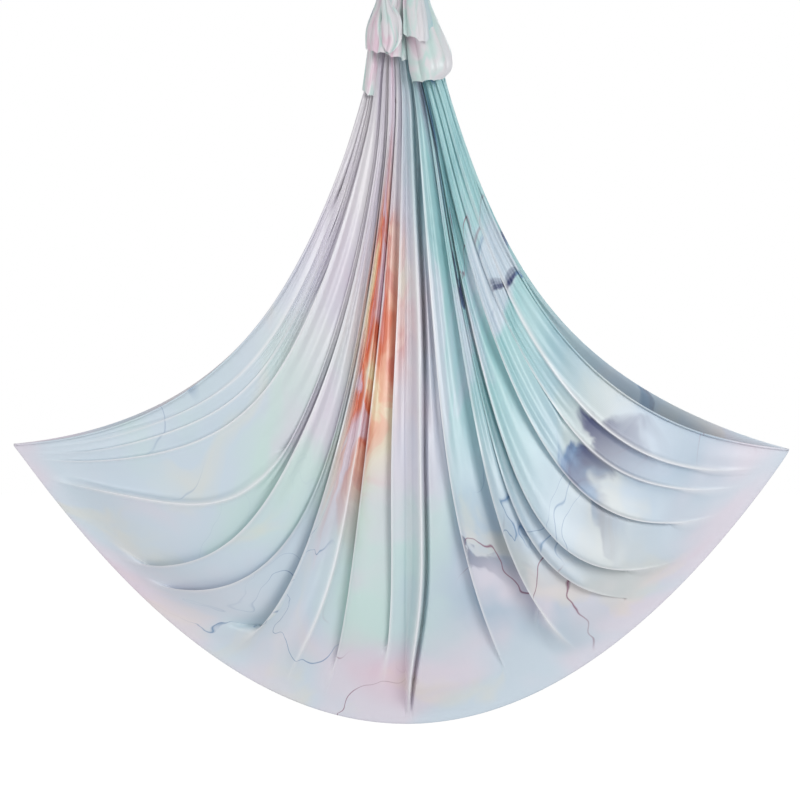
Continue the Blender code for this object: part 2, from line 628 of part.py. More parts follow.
def pleat_columns(down):
    """The panel's columns at one height: how far across each lies, and how high on its pleat it is.

    Each pleat falls from its crest towards the next one on its right, and the cloth then turns back up."""
    shift = smooth_step(CREST_SHIFT_SHARES, down)
    crests = []
    for high, low in zip(LEFT_CREST_HIGH_SHARES, LEFT_CREST_LOW_SHARES):
        crests.append(high + (low - high) * shift - 1)
    for high, low in zip(RIGHT_CREST_HIGH_SHARES, RIGHT_CREST_LOW_SHARES):
        crests.append(1 - high - (low - high) * shift)
    crests.append(1.0)
    columns = []
    for crest, following in zip(crests, crests[1:]):
        for share, height in zip(PLEAT_PLACE_SHARES, PLEAT_HEIGHT_SHARES):
            columns.append((crest + (following - crest) * share, height))
    columns.append((1.0, 0.0))
    return columns


def sheet_solid(grid):
    """A closed sheet from columns of points, each with its x, z, its middle's y and its thickness."""
    bm = bmesh.new()
    near, far = [], []
    columns, rows = len(grid) - 1, len(grid[0]) - 1
    for column in grid:
        for verts, side in ((near, -1), (far, 1)):
            verts.append([bm.verts.new((x, y + side * thickness / 2, z)) for x, z, y, thickness in column])
    for i in range(columns):
        for j in range(rows):
            bm.faces.new((near[i][j], near[i + 1][j], near[i + 1][j + 1], near[i][j + 1]))
            bm.faces.new((far[i][j], far[i][j + 1], far[i + 1][j + 1], far[i + 1][j]))
    for i in range(columns):
        bm.faces.new((near[i][0], far[i][0], far[i + 1][0], near[i + 1][0]))
        bm.faces.new((near[i][rows], near[i + 1][rows], far[i + 1][rows], far[i][rows]))
    for j in range(rows):
        bm.faces.new((near[0][j], near[0][j + 1], far[0][j + 1], far[0][j]))
        bm.faces.new((near[columns][j], far[columns][j], far[columns][j + 1], near[columns][j + 1]))
    return bm


def panel_half(name, parent, side, cloth):
    """Half of the panel's length, the front layer (side -1) or the back one (1). They meet at the bottom."""
    rows = []
    for j in range(PANEL_ROWS + 1):
        down = j / PANEL_ROWS
        thickness = CLOTH_THICKNESS
        thickness += (GATHER_THICKNESS - CLOTH_THICKNESS) * (1 - smooth_step(BUNDLE_SHARES, down))
        closing = smooth_step(POCKET_CLOSE_SHARES, down)
        pocket = POCKET_HALF_DEPTH * smooth_step(POCKET_OPEN_SHARES, down) * (1 - closing * closing)
        pleat = PLEAT_DEPTH * smooth_step(PLEAT_START_SHARES, down) * (1 - smooth_step(PLEAT_END_SHARES, down))
        gather_x = side * GATHER_SIDE * (1 - smooth_step(GATHER_JOIN_SHARES, down))
        rise_share = math.sin(math.pi * down**RISE_LATENESS) if side > 0 else 0.0
        row = []
        for across, height in pleat_columns(down):
            spot = fold_line(across, down)
            rise = RIGHT_BACK_RISE if across > 0 else LEFT_BACK_RISE
            rise *= rise_share * smooth_step(RISE_ACROSS_SHARES, abs(across))
            depth = SEAT_GAP / 2 + thickness / 2 + pocket + pleat * height
            row.append((spot.x + gather_x, spot.y + rise, side * depth, thickness))
        rows.append(row)
    return piece(name, sheet_solid(list(zip(*rows))), parent, cloth)


def cloth_loop(name, parent, side, cloth):
    """One gathered end, over the bar and down to its knot as two legs."""
    points = []
    top = -KNOT_DROP + SEAT_GAP
    for way in (-1, 1):
        leg = []
        for i in range(LEG_STEPS):
            share = i / LEG_STEPS
            ease = share * share * (3 - 2 * share)
            x = side * (KNOT_SIDE + (BUNDLE_SIDE - KNOT_SIDE) * ease)
            low_y = way * LEG_SPREAD - KNOT_FRONT
            leg.append((x, low_y + (way * BUNDLE_TURN_RADIUS - low_y) * ease, top * (1 - share)))
        points.append(leg)
    turn = []
    for y, z in arc((0, 0), BUNDLE_TURN_RADIUS, 180, 0, TURN_STEPS):
        turn.append((side * BUNDLE_SIDE, y, z))
    path = points[0] + turn + points[1][::-1]
    bm = tube(path, BUNDLE_RADIUS, BUNDLE_PLEATS * 2, BUNDLE_PLEATS, BUNDLE_PLEAT_DEPTH)
    flatten_ends(bm, top)
    return piece(name, bm, parent, cloth)


def flatten_ends(bm, height):
    """The legs' ends made level where they meet the knot."""
    for face in bm.faces:
        if len(face.verts) > 4:
            for vert in face.verts:
                vert.co.z = height


def knot(name, parent, side, cloth):
    """A pulled-down knot: a stout bulge with the wraps of cloth running slantwise round it."""
    bm = bmesh.new()
    rings = []
    for j in range(KNOT_RINGS + 1):
        share = j / KNOT_RINGS
        size = np.interp(share, np.linspace(0, 1, len(KNOT_OUTLINE_SHARES)), KNOT_OUTLINE_SHARES)
        ring = []
        for i in range(KNOT_SIDES):
            angle = 2 * math.pi * i / KNOT_SIDES
            wrap = math.cos(2 * math.pi * KNOT_WRAPS * share + side * angle)
            inset = KNOT_WRAP_DEPTH * (1 - wrap) / 2 * math.sin(math.pi * share)
            x = (KNOT_HALF_WIDTH * size - inset) * math.cos(angle)
            y = (KNOT_HALF_DEPTH * size - inset) * math.sin(angle)
            ring.append((side * KNOT_SIDE + x, y - KNOT_FRONT, -KNOT_DROP - KNOT_HEIGHT * share))
        rings.append(ring)
    rings_to_solid(bm, rings)
    return piece(name, bm, parent, cloth)


def tail(name, parent, side, length, end_side, end_half_width, cloth):
    """The loose end below a knot, hanging in front of the gathered panel in a few soft folds."""
    rows = []
    columns = TAIL_FOLDS * TAIL_FOLD_POINTS
    for j in range(TAIL_ROWS + 1):
        down = j / TAIL_ROWS
        spread = smooth_step(TAIL_SPREAD_SHARES, down)
        centre = side * (GATHER_SIDE + (end_side - GATHER_SIDE) * spread)
        half = TAIL_TOP_HALF_WIDTH + (end_half_width - TAIL_TOP_HALF_WIDTH) * spread
        thickness = TAIL_THICKNESS + (TAIL_HEM_THICKNESS - TAIL_THICKNESS) * spread
        row = []
        for i in range(columns + 1):
            across = 2 * i / columns - 1
            wave = TAIL_FOLD_DEPTH * spread * math.cos(math.pi * TAIL_FOLDS * (across + 1))
            y = -TAIL_FRONT - TAIL_LEAN * down - wave
            row.append((centre + across * half, -GATHER_DROP - length * down, y, thickness))
        rows.append(row)
    return piece(name, sheet_solid(list(zip(*rows))), parent, cloth)


def hammock(parent, cloth):
    """All the cloth, about the lower bar's axis."""
    panel_half("sling_front", parent, -1, cloth)
    panel_half("sling_back", parent, 1, cloth)
    for word, side in (("left", -1), ("right", 1)):
        cloth_loop(f"{word}_cloth_loop", parent, side, cloth)
        knot(f"{word}_knot", parent, side, cloth)
    tail("left_tail", parent, -1, LEFT_TAIL_LENGTH, LEFT_TAIL_SIDE, LEFT_TAIL_HALF_WIDTH, cloth)
    tail("right_tail", parent, 1, RIGHT_TAIL_LENGTH, RIGHT_TAIL_SIDE, RIGHT_TAIL_HALF_WIDTH, cloth)


def make_looks():
    return {
        "steel": material("steel", (0.55, 0.56, 0.58), 0.30, 1.0),
        "bright_steel": material("bright_steel", (0.70, 0.71, 0.73), 0.22, 1.0),
        "spring_steel": material("spring_steel", (0.45, 0.45, 0.47), 0.35, 1.0),
        "sleeve": material("sleeve", (0.10, 0.11, 0.13), 0.40, 0.9),
        "alloy": material("alloy", (0.16, 0.20, 0.30), 0.35, 0.9),
        "rubber": material("rubber", (0.02, 0.02, 0.02), 0.75, 0.0),
        "cloth": material("cloth", (0.66, 0.68, 0.76), 0.45, 0.0),
    }


def main():
    clear_scene()
    looks = make_looks()
    root = body("root_body", None, (0, 0, BAR_RADIUS))
    carabiner("upper", root, looks)
    eye_body = body("swivel_eye_body", root, (0, 0, UPPER_BAR_Z - BAR_RADIUS))
    housing_body = body("swivel_housing_body", eye_body, (0, 0, HOUSING_Z - UPPER_BAR_Z))
    swivel(eye_body, housing_body, looks)
    lower = body("lower_carabiner_body", housing_body, (0, 0, LOWER_CARABINER_Z - HOUSING_Z))
    carabiner("lower", lower, looks)
    cloth_body = body("hammock_body", lower, (0, 0, -FRAME_HEIGHT))
    hammock(cloth_body, looks["cloth"])
    bpy.context.view_layer.update()


main()
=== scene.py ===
"""The looks of the aerial hammock: one continuous sheet of silky tricot hung in soft knife pleats, its
loops, knots and tails, and the finish of the carabiners and the swivel above. Metres, in the CAD's frame."""

import json
import math
from types import SimpleNamespace

import bmesh
import bpy
import numpy as np
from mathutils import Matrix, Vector


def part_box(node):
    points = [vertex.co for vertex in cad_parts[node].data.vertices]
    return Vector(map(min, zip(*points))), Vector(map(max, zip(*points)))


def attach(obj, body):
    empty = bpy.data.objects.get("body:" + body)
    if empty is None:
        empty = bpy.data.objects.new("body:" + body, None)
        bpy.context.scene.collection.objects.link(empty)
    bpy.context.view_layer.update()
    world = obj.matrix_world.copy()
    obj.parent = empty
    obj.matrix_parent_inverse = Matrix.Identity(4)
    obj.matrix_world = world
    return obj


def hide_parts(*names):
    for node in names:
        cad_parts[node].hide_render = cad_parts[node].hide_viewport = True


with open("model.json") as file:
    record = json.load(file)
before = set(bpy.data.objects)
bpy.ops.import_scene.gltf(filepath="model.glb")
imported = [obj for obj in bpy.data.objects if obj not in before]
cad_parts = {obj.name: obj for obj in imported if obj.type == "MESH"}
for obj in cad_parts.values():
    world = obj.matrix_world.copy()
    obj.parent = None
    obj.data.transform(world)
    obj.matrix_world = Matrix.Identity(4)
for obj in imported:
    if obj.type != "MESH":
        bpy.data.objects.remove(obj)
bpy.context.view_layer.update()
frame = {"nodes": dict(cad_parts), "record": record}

# The cloth as it is cut
LOOM_WIDTH = 2.80

# Places read from the frame
FRONT_LOW, FRONT_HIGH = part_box("sling_front")
GATHER_Z = FRONT_HIGH.z
BOTTOM_Z = FRONT_LOW.z
HALF_SPAN = FRONT_HIGH.x
KNOT_LOW, KNOT_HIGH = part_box("right_knot")
KNOT_CENTRE = (KNOT_LOW + KNOT_HIGH) / 2
LOOP_LOW, LOOP_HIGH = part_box("right_cloth_loop")
LOOP_RADIUS = 0.0115
LOOP_SIDE = LOOP_LOW.x + LOOP_RADIUS
BAR_RADIUS = 0.006
BAR_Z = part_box("lower_carabiner_frame")[0].z + BAR_RADIUS

# The panel's own sizes
TIP_TO_BOTTOM = 0.756
TIP_DROP = GATHER_Z - BOTTOM_Z - TIP_TO_BOTTOM
TIP_SHIFT = 0.010
TIP_TILT = 0.007
TIP_LATENESS = 4
GATHER_SIDE = 0.030
GATHER_HALF_WIDTH = 0.026
NECK_END = 0.09
NECK_SQUEEZE = 0.6
NECK_RISE = 0.032
FOLD_RADIUS = 0.005
FOLD_ROWS_DEG = (30, 60, 90, 120, 150)
LAYER_GAP = 0.002
POCKET_DEPTH = 0.095
EDGE_POCKET_SHARE = 0.9
CURL_RADIUS = 0.0028
CURL_ANGLES_DEG = (50, 100, 150, 205, 260)
BACK_RISE_LEFT = 0.014
BACK_RISE_RIGHT = 0.055
RISE_LATENESS = 1.8
ROWS = 110
FLAT_STEPS = 400
TINY = 1e-9

# Fold lines from a selvedge (0) to the panel's middle (1)
LINE_PLACE_SHARES = (0.0, 0.06, 0.14, 0.22, 0.30, 0.38, 0.48, 0.58, 0.68, 0.78, 0.90, 1.0)
REACH_SHARES = (1.0, 0.995, 0.982, 0.955, 0.915, 0.86, 0.775, 0.665, 0.535, 0.385, 0.19, 0.0)
DROP_SHARES = (0.645, 0.662, 0.74, 0.84, 0.94, 1.02, 1.06, 1.02, 0.94, 0.84, 0.74, 0.70)
PULL_SHARES = (0.58, 0.58, 0.54, 0.52, 0.50, 0.47, 0.43, 0.37, 0.32, 0.29, 0.29, 0.30)
LINE_ANGLES_DEG = (4.0, 2.0, -6.0, -14.0, -22.0, -26.0, -24.0, -12.0, 12.0, 42.0, 74.0, 90.0)
LEFT_LEAN_SHARES = (0.125, 0.13, 0.125, 0.11, 0.098, 0.09, 0.08, 0.072, 0.06, 0.045, 0.02, 0.0)
RIGHT_LEAN_SHARES = (0.142, 0.14, 0.135, 0.13, 0.13, 0.135, 0.14, 0.14, 0.125, 0.09, 0.04, 0.0)

# Each main pleat, from left to right: its crest's place high up and low down, from a selvedge (0) to the
# middle (1), its strength, how much of its width turns back up in the open, and where it fades and has gone
LEFT_PLEATS = (
    (0.00, 0.000, 0.5, 0.00, 0.70, 0.92),
    (0.13, 0.070, 0.8, 0.06, 0.84, 1.00),
    (0.17, 0.115, 1.0, 0.05, 0.86, 1.00),
    (0.215, 0.160, 0.8, 0.08, 0.84, 0.99),
    (0.385, 0.250, 1.1, 0.05, 0.84, 0.98),
    (0.425, 0.465, 1.0, 0.06, 0.82, 0.96),
    (0.62, 0.530, 0.9, 0.08, 0.80, 0.95),
    (0.67, 0.720, 1.2, 0.45, 0.80, 0.96),
    (0.82, 0.820, 1.0, 0.10, 0.82, 0.98),
    (0.865, 0.885, 0.8, 0.06, 0.78, 0.97),
    (0.95, 0.955, 0.7, 0.22, 0.76, 0.95),
)
RIGHT_PLEATS = (
    (0.94, 0.977, 1.3, 0.12, 0.90, 0.99),
    (0.88, 0.840, 0.8, 0.10, 0.76, 0.94),
    (0.705, 0.715, 1.5, 0.04, 0.82, 0.97),
    (0.62, 0.560, 0.9, 0.06, 0.72, 0.90),
    (0.54, 0.455, 1.0, 0.06, 0.76, 0.93),
    (0.34, 0.335, 1.1, 0.05, 0.80, 0.95),
    (0.235, 0.250, 0.9, 0.06, 0.80, 0.96),
    (0.165, 0.185, 0.8, 0.04, 0.82, 0.98),
)
CREST_WANDER = 0.005
WANDER_TURNS = 1.3
WANDER_MORE_TURNS = 0.5
WANDER_KINDS = 3
WANDER_SIDE_TURN = 0.25
GOLDEN_SHARE = 0.618

# Where down the panel, from the gather (0) to the fold (1), each of these sets in and is full
CREST_SHIFT_DOWN = (0.45, 0.95)
WANDER_DOWN = (0.1, 0.5)
LEAST_DEPTH_DOWN = (0.25, 0.5)
SHALLOW_DOWN = (0.5, 0.85)
RIPPLE_DOWN = (0.08, 0.3)
RIPPLE_END_DOWN = (0.34, 0.6)
SLIT_DOWN = (0.08, 0.22)
# The next pair is for the painted highlight along the crests
HIGHLIGHT_DOWN = (0.1, 0.35)
GATHER_SIDE_DOWN = (0.0, 0.16)
POCKET_DOWN = (0.02, 0.6)
POCKET_END_DOWN = (0.55, 1.0)
FOLD_DOWN = (0.85, 1.0)

# Where the back layer grows calm and rises, from the middle (0) to a selvedge (1), and how far in from a
# selvedge the pocket is at its full depth
BACK_CALM = 0.8
BACK_CALM_ACROSS = (0.72, 0.9)
BACK_RISE_ACROSS = (0.6, 1.0)
POCKET_IN = (0.0, 0.5)

# A pleat's shape across: its band falls from the crest, passes under the next crest and turns back to it
BAND_FLAT_SHARE = 0.72
BAND_COLUMNS = 24
SLIT_BAND_COLUMNS = 44
CREST_CROWDING = 1.6
RETURN_PLACE_SHARES = (0.0, 0.12, 0.25, 0.38, 0.5, 0.62, 0.75, 0.86, 0.95)
BAND_CURVE = 1.7
LEAST_WIDTH = 0.0004
FOLDED_DEPTH_SHARES = (0.02, 0.16)

# How deep the pleats are
DEPTH_SHARE = 0.64
MOST_FOLD_DEPTH = 0.036
NECK_DEPTH = 0.004
NECK_DEPTH_SHARE = 0.52
SHALLOW_DEPTH_SHARE = 0.42
LEAST_DEPTH_SHARE = 0.12
SELVEDGE_DEPTH_SHARE = 0.3

# How far the bands pass under the next crests, and the cloth that lies hidden there
OVERLAP_SHARE = 0.8
MOST_OVERLAP = 2.4
OVERLAP_FADE = 2.5
OVERLAP_ROOM_SHARE = 0.9
OPEN_PLEAT_SHARES = (0.02, 0.2)
WIDE_OPEN_SHARE = 0.15
TURNED_OVERLAPS = (0.0, 0.25)
HIDDEN_OVERLAPS = (0.1, 0.4)
TURN_GAP = 0.0035
TURN_RUN = 0.004
TUCK_DEPTH = 0.014
TUCK_RUN_SHARE = 0.3
HIDDEN_WAVE = 0.024

# The crests' pinched ridges, where the cloth is taut and a painted highlight whitens them, and the ripples
# between them
RIDGE_HEIGHT = 0.0055
RIDGE_WIDTH_SHARE = 0.06
RIDGE_HALF_WIDTH = 0.0055
HIGHLIGHT_WIDTHS = (0.015, 0.05)
RIPPLES = 3
RIPPLE_DEPTH = 0.0125
RIPPLE_WIDTH_SHARE = 0.28

# The narrow deep groove beside the middle crest
SLIT_INDEX = len(LEFT_PLEATS)
SLIT_DEPTH = 0.045
SLIT_PLACE = 0.0115
SLIT_HALF_WIDTH = 0.0046


def smooth_step(low, high, value):
    """0 before low, 1 after high, and an even curve between."""
    share = np.clip((np.asarray(value, float) - low) / (high - low), 0.0, 1.0)
    return share * share * (3 - 2 * share)


def unit(vectors):
    """The given vectors at a length of 1."""
    return vectors / np.maximum(np.linalg.norm(vectors, axis=-1), TINY)[..., None]


def read_table(values, place):
    """A value read from a table of fold lines, on a smooth curve through its entries."""
    places = np.array(LINE_PLACE_SHARES)
    values = np.array(values, float)
    slopes = np.gradient(values, places)
    slopes[-1] = 0.0
    index = np.clip(np.searchsorted(places, place, side="right") - 1, 0, len(places) - 2)
    width = places[index + 1] - places[index]
    share = (place - places[index]) / width
    square = share * share
    cube = share * share * share
    level = (2 * cube - 3 * square + 1) * values[index] + (3 * square - 2 * cube) * values[index + 1]
    slope = (cube - 2 * square + share) * slopes[index] + (cube - square) * slopes[index + 1]
    return level + width * slope


def fold_line(across, down):
    """x and z of the panel, by the place across (-1 to 1) and down from the gather (0) to the fold (1)."""
    side = np.where(across >= 0, 1.0, -1.0)
    place = 1 - np.abs(across)
    reach = read_table(REACH_SHARES, place)
    left_lean = read_table(LEFT_LEAN_SHARES, place)
    right_lean = read_table(RIGHT_LEAN_SHARES, place)
    lean = np.where(across < 0, left_lean, right_lean)
    pull = HALF_SPAN * read_table(PULL_SHARES, place)
    angle = np.radians(read_table(LINE_ANGLES_DEG, place))
    start_x = across * GATHER_HALF_WIDTH
    end_x = side * HALF_SPAN * reach
    end_z = GATHER_Z - TIP_DROP - TIP_TO_BOTTOM * (1 - reach * reach)
    near_x = start_x + side * lean * TIP_DROP
    near_z = GATHER_Z - TIP_DROP * read_table(DROP_SHARES, place)
    far_x = end_x - side * np.cos(angle) * pull
    far_z = end_z + np.sin(angle) * pull
    up = 1 - down
    weights = (up**3, 3 * up * up * down, 3 * up * down * down, down**3)
    x = weights[0] * start_x + weights[1] * near_x + weights[2] * far_x + weights[3] * end_x
    z = weights[0] * GATHER_Z + weights[1] * near_z + weights[2] * far_z + weights[3] * end_z
    return x, z


def flat_across(across):
    """Where a fold line lies on the flat cloth, measured along the bottom fold, from the middle."""
    steps = np.linspace(0, 1, FLAT_STEPS)
    reach = read_table(REACH_SHARES, 1 - steps)
    run = np.hypot(np.diff(reach) * HALF_SPAN, np.diff(reach * reach) * TIP_TO_BOTTOM)
    run = np.concatenate([[0.0], np.cumsum(run)])
    return np.sign(across) * np.interp(np.abs(across), steps, run / run[-1] * (LOOM_WIDTH / 2))


def crest_places(down, side):
    """How far across each pleat's crest lies at each row, with a slight wander of its own."""
    shift = smooth_step(*CREST_SHIFT_DOWN, down)
    places = [high + (low - high) * shift - 1 for high, low, *_ in LEFT_PLEATS]
    places += [1 - high - (low - high) * shift for high, low, *_ in RIGHT_PLEATS]
    for k in range(1, len(places)):
        turns = (WANDER_TURNS + WANDER_MORE_TURNS * (k % WANDER_KINDS)) * down
        turns = turns + k * GOLDEN_SHARE + WANDER_SIDE_TURN * side
        wander = CREST_WANDER * np.sin(2 * math.pi * turns)
        places[k] = places[k] + wander * smooth_step(*WANDER_DOWN, down)
    places.append(np.ones_like(down))
    return np.concatenate(places, axis=1)


def pleat_widths(crests, down):
    """How wide each pleat is as it hangs, square to its line."""
    x, z = fold_line(crests, down)
    way_x = np.gradient(x, axis=0)
    way_z = np.gradient(z, axis=0)
    length = np.hypot(way_x, way_z)
    square_to = np.diff(x, axis=1) * way_z[:, :-1] - np.diff(z, axis=1) * way_x[:, :-1]
    return np.maximum(np.abs(square_to) / length[:, :-1], LEAST_WIDTH)


def with_selvedge(values, share):
    """The pleats' values and one for the right selvedge, a share of the last pleat's."""
    return np.concatenate([values, share * values[:, -1:]], axis=1)


def pleat_depths(widths, flat_widths, ending, down):
    """How far each crest stands out, from the cloth that is spare between it and the next."""
    spare = np.clip((flat_widths**2 - widths**2) / (2 * flat_widths), 0, None)
    depth = np.minimum(DEPTH_SHARE * spare, MOST_FOLD_DEPTH) * ending
    depth = np.minimum(depth, NECK_DEPTH + NECK_DEPTH_SHARE * widths)
    shallow = smooth_step(*SHALLOW_DOWN, down)
    depth = depth * (1 - shallow) + np.minimum(depth, SHALLOW_DEPTH_SHARE * widths) * shallow
    least = LEAST_DEPTH_SHARE * widths * ending * smooth_step(*LEAST_DEPTH_DOWN, down)
    return with_selvedge(np.maximum(depth, least), SELVEDGE_DEPTH_SHARE)


def pleat_overlaps(widths, flat_widths, ending, open_shares, crests):
    """How far each band passes under the next crest, in widths of its pleat."""
    overlap = OVERLAP_SHARE * (flat_widths - widths) / widths
    overlap = np.clip(overlap, 0, MOST_OVERLAP) * ending**OVERLAP_FADE
    overlap = overlap * (1 - smooth_step(*OPEN_PLEAT_SHARES, open_shares))
    return np.minimum(overlap, OVERLAP_ROOM_SHARE * (1 - crests[:, 1:]) / np.diff(crests, axis=1))


def layer_pleats(down, side):
    """One layer's pleats from left to right, sized at every row, and the right selvedge's flat place."""
    *_, strengths, open_shares, fades, ends = np.array(LEFT_PLEATS + RIGHT_PLEATS).T
    crests = crest_places(down, side)
    flat = flat_across(crests)
    flat_widths = np.diff(flat, axis=1)
    widths = pleat_widths(crests, down)
    ending = 1 - smooth_step(fades, ends, down)
    depth = pleat_depths(widths, flat_widths, ending, down) * np.append(strengths, 1.0)
    overlap = pleat_overlaps(widths, flat_widths, ending, open_shares, crests)
    if side > 0:
        calm = 1 - BACK_CALM * smooth_step(*BACK_CALM_ACROSS, np.abs(crests))
        depth = depth * calm
        overlap = overlap * calm[:, :-1]
    ridge = with_selvedge(np.minimum(RIDGE_HEIGHT, RIDGE_WIDTH_SHARE * widths) * ending, 0)
    # A painted highlight along each crest, which fades as the pleat ends
    taut = with_selvedge(ending, 0) * smooth_step(*HIGHLIGHT_DOWN, down)
    sizes = {
        "ending": ending,
        "start": crests,
        "span": np.diff(crests, axis=1),
        "flat_start": flat,
        "flat_width": flat_widths,
        "width": widths,
        "next_width": with_selvedge(widths, 1)[:, 1:],
        "depth": depth,
        "next_depth": depth[:, 1:],
        "ridge": ridge,
        "next_ridge": ridge[:, 1:],
        "taut": taut,
        "next_taut": taut[:, 1:],
        "overlap": overlap,
        "folded": smooth_step(*FOLDED_DEPTH_SHARES, depth[:, :-1] / flat_widths),
        "turned": smooth_step(*TURNED_OVERLAPS, overlap),
    }
    pleats = []
    for k, (strength, open_share) in enumerate(zip(strengths, open_shares)):
        own = {word: values[:, k] for word, values in sizes.items()}
        pleats.append(SimpleNamespace(slit=k == SLIT_INDEX, strength=strength, open_share=open_share, **own))
    return pleats, flat[:, -1]


def tuck_room(down):
    """How much of the hidden folds the pocket between the layers has room for."""
    return np.minimum(1.0, POCKET_DEPTH * smooth_step(*POCKET_DOWN, down) / (TUCK_DEPTH + HIDDEN_WAVE))


def pleat_column(pleat, even, bent, height, taut):
    """One column of a pleat: its place across, its height, its place on the flat cloth, and how strong the
    painted highlight along its crest is.
    Even is its share of the pleat on the flat cloth, and bent its share where the pleat is folded."""
    across = pleat.start + pleat.span * (even + pleat.folded * (bent - even))
    flat = pleat.flat_start + pleat.flat_width * even
    return across, height, flat, taut * smooth_step(*HIGHLIGHT_WIDTHS, pleat.width)


def band_columns(pleat, down):
    """A pleat's band, from its crest down to where it turns back behind the next crest."""
    ripple = RIPPLE_DEPTH * smooth_step(*RIPPLE_DOWN, down) * (1 - smooth_step(*RIPPLE_END_DOWN, down))
    ripple = np.minimum(ripple, RIPPLE_WIDTH_SHARE * pleat.width)
    tuck = tuck_room(down) * TUCK_DEPTH
    columns = SLIT_BAND_COLUMNS if pleat.slit else BAND_COLUMNS
    made = []
    for share in np.linspace(0, 1, columns)[:-1] ** CREST_CROWDING:
        bent = share * (1 - pleat.open_share) + pleat.overlap * share**3
        wave = (1 - math.cos(2 * math.pi * RIPPLES * share)) / 2
        near = np.exp(-((share * pleat.width / RIDGE_HALF_WIDTH) ** 2))
        height = pleat.depth * (1 - share) ** BAND_CURVE + ripple * wave * pleat.strength
        height = height + pleat.ridge * near
        height = height - tuck * smooth_step(1.0, 1.0 + TUCK_RUN_SHARE, bent)
        if pleat.slit:
            groove = np.exp(-(((share * pleat.width - SLIT_PLACE) / SLIT_HALF_WIDTH) ** 2))
            height = height - SLIT_DEPTH * groove * smooth_step(*SLIT_DOWN, down) * pleat.ending
        made.append(pleat_column(pleat, share * BAND_FLAT_SHARE, bent, height, near * pleat.taut))
    return made


def return_columns(pleat, down):
    """A pleat's return, from where its band ends up to the next crest: hidden behind it or in the open."""
    room = tuck_room(down)
    made = []
    for share in RETURN_PLACE_SHARES:
        past = pleat.overlap * (1 - share)
        bent = 1 + past - pleat.open_share * (1 - share)
        distance = past * pleat.width
        covered = np.clip(1 - distance / pleat.next_width, 0, 1) ** BAND_CURVE
        under = pleat.next_depth * covered - TURN_GAP * (1 - np.exp(-distance / TURN_RUN))
        low = -room * TUCK_DEPTH * smooth_step(0.0, TUCK_RUN_SHARE, past)
        hidden = low + (under - low) * math.sqrt(share)
        dip = room * HIDDEN_WAVE * math.sin(2 * math.pi * share) ** 2
        hidden = hidden - dip * smooth_step(*HIDDEN_OVERLAPS, past)
        rise = smooth_step(0, 1, share) if pleat.open_share > WIDE_OPEN_SHARE else share
        height = hidden * pleat.turned + pleat.next_depth * rise * (1 - pleat.turned)
        beside = distance + pleat.open_share * (1 - share) * pleat.width
        near = np.exp(-((beside / RIDGE_HALF_WIDTH) ** 2))
        height = height + pleat.next_ridge * near
        even = BAND_FLAT_SHARE + (1 - BAND_FLAT_SHARE) * share
        made.append(pleat_column(pleat, even, bent, height, near * share * pleat.next_taut))
    return made


def layer_points(across, height, down, side):
    """The layer's points: on its fold lines, drawn together at the neck, and out by pocket and height."""
    x, z = fold_line(across, down)
    squeeze = 1 - smooth_step(0.0, NECK_END, down)
    gathered = 1 - smooth_step(*GATHER_SIDE_DOWN, down)
    x = x * (1 - NECK_SQUEEZE * squeeze) + side * GATHER_SIDE * gathered
    x = x - TIP_SHIFT * across**2 * down**TIP_LATENESS
    z = z + NECK_RISE * squeeze**2 - TIP_TILT * across * down**TIP_LATENESS
    closing = smooth_step(*POCKET_END_DOWN, down)
    pocket = smooth_step(*POCKET_DOWN, down) * (1 - closing * closing)
    inner = smooth_step(*POCKET_IN, 1 - np.abs(across))
    base = LAYER_GAP + POCKET_DEPTH * pocket * (EDGE_POCKET_SHARE + (1 - EDGE_POCKET_SHARE) * inner)
    base = base + (FOLD_RADIUS - LAYER_GAP) * smooth_step(*FOLD_DOWN, down)
    if side > 0:
        rise = np.where(across < 0, BACK_RISE_LEFT, BACK_RISE_RIGHT)
        rise = rise * smooth_step(*BACK_RISE_ACROSS, np.abs(across))
        z = z + rise * np.sin(math.pi * down**RISE_LATENESS)
    return np.stack([x, side * np.maximum(base + height, LAYER_GAP / 2), z], axis=-1)


def panel_layer(side):
    """One layer, rows by columns from the gather to the fold: its points, its flat coordinates across and
    along, and the painted highlight along each pleat's crest, where the cloth is drawn taut."""
    down = np.linspace(0, 1, ROWS + 1)[:, None]
    pleats, selvedge_flat = layer_pleats(down, side)
    columns = []
    for pleat in pleats:
        columns += band_columns(pleat, down[:, 0]) + return_columns(pleat, down[:, 0])
    columns.append((np.ones(ROWS + 1), pleats[-1].next_depth, selvedge_flat, np.zeros(ROWS + 1)))
    across, height, flat, taut = (np.array(values).T for values in zip(*columns))
    across = np.clip(across, -1, 1)
    for values in (across, height):
        values[:, 1:-1] = (values[:, :-2] + 2 * values[:, 1:-1] + values[:, 2:]) / 4
    points = layer_points(across, height, down, side)
    steps = np.linalg.norm(np.diff(points, axis=0), axis=-1)
    along = np.concatenate([np.cumsum(steps[::-1], axis=0)[::-1], np.zeros((1, steps.shape[1]))])
    return points, flat, along, taut


def curled(points, side):
    """Extra columns at both selvedges, where the raw tricot edge rolls up into a thin cord."""
    made = [points]
    for column, neighbour, at_end in ((0, 2, False), (-1, -3, True)):
        edge = points[:, column]
        along = np.gradient(edge, axis=0)
        out = edge - points[:, neighbour]
        out = unit(out - along * (np.sum(out * along, axis=1) / np.sum(along * along, axis=1))[:, None])
        up = unit(np.cross(along, out))
        up = up * np.sign(up[:, 1] * side)[:, None]
        extra = []
        for angle in np.radians(CURL_ANGLES_DEG):
            extra.append(edge + CURL_RADIUS * (out * math.sin(angle) + up * (1 - math.cos(angle))))
        extra = np.stack(extra if at_end else extra[::-1], axis=1)
        made = made + [extra] if at_end else [extra] + made
    return np.concatenate(made, axis=1)


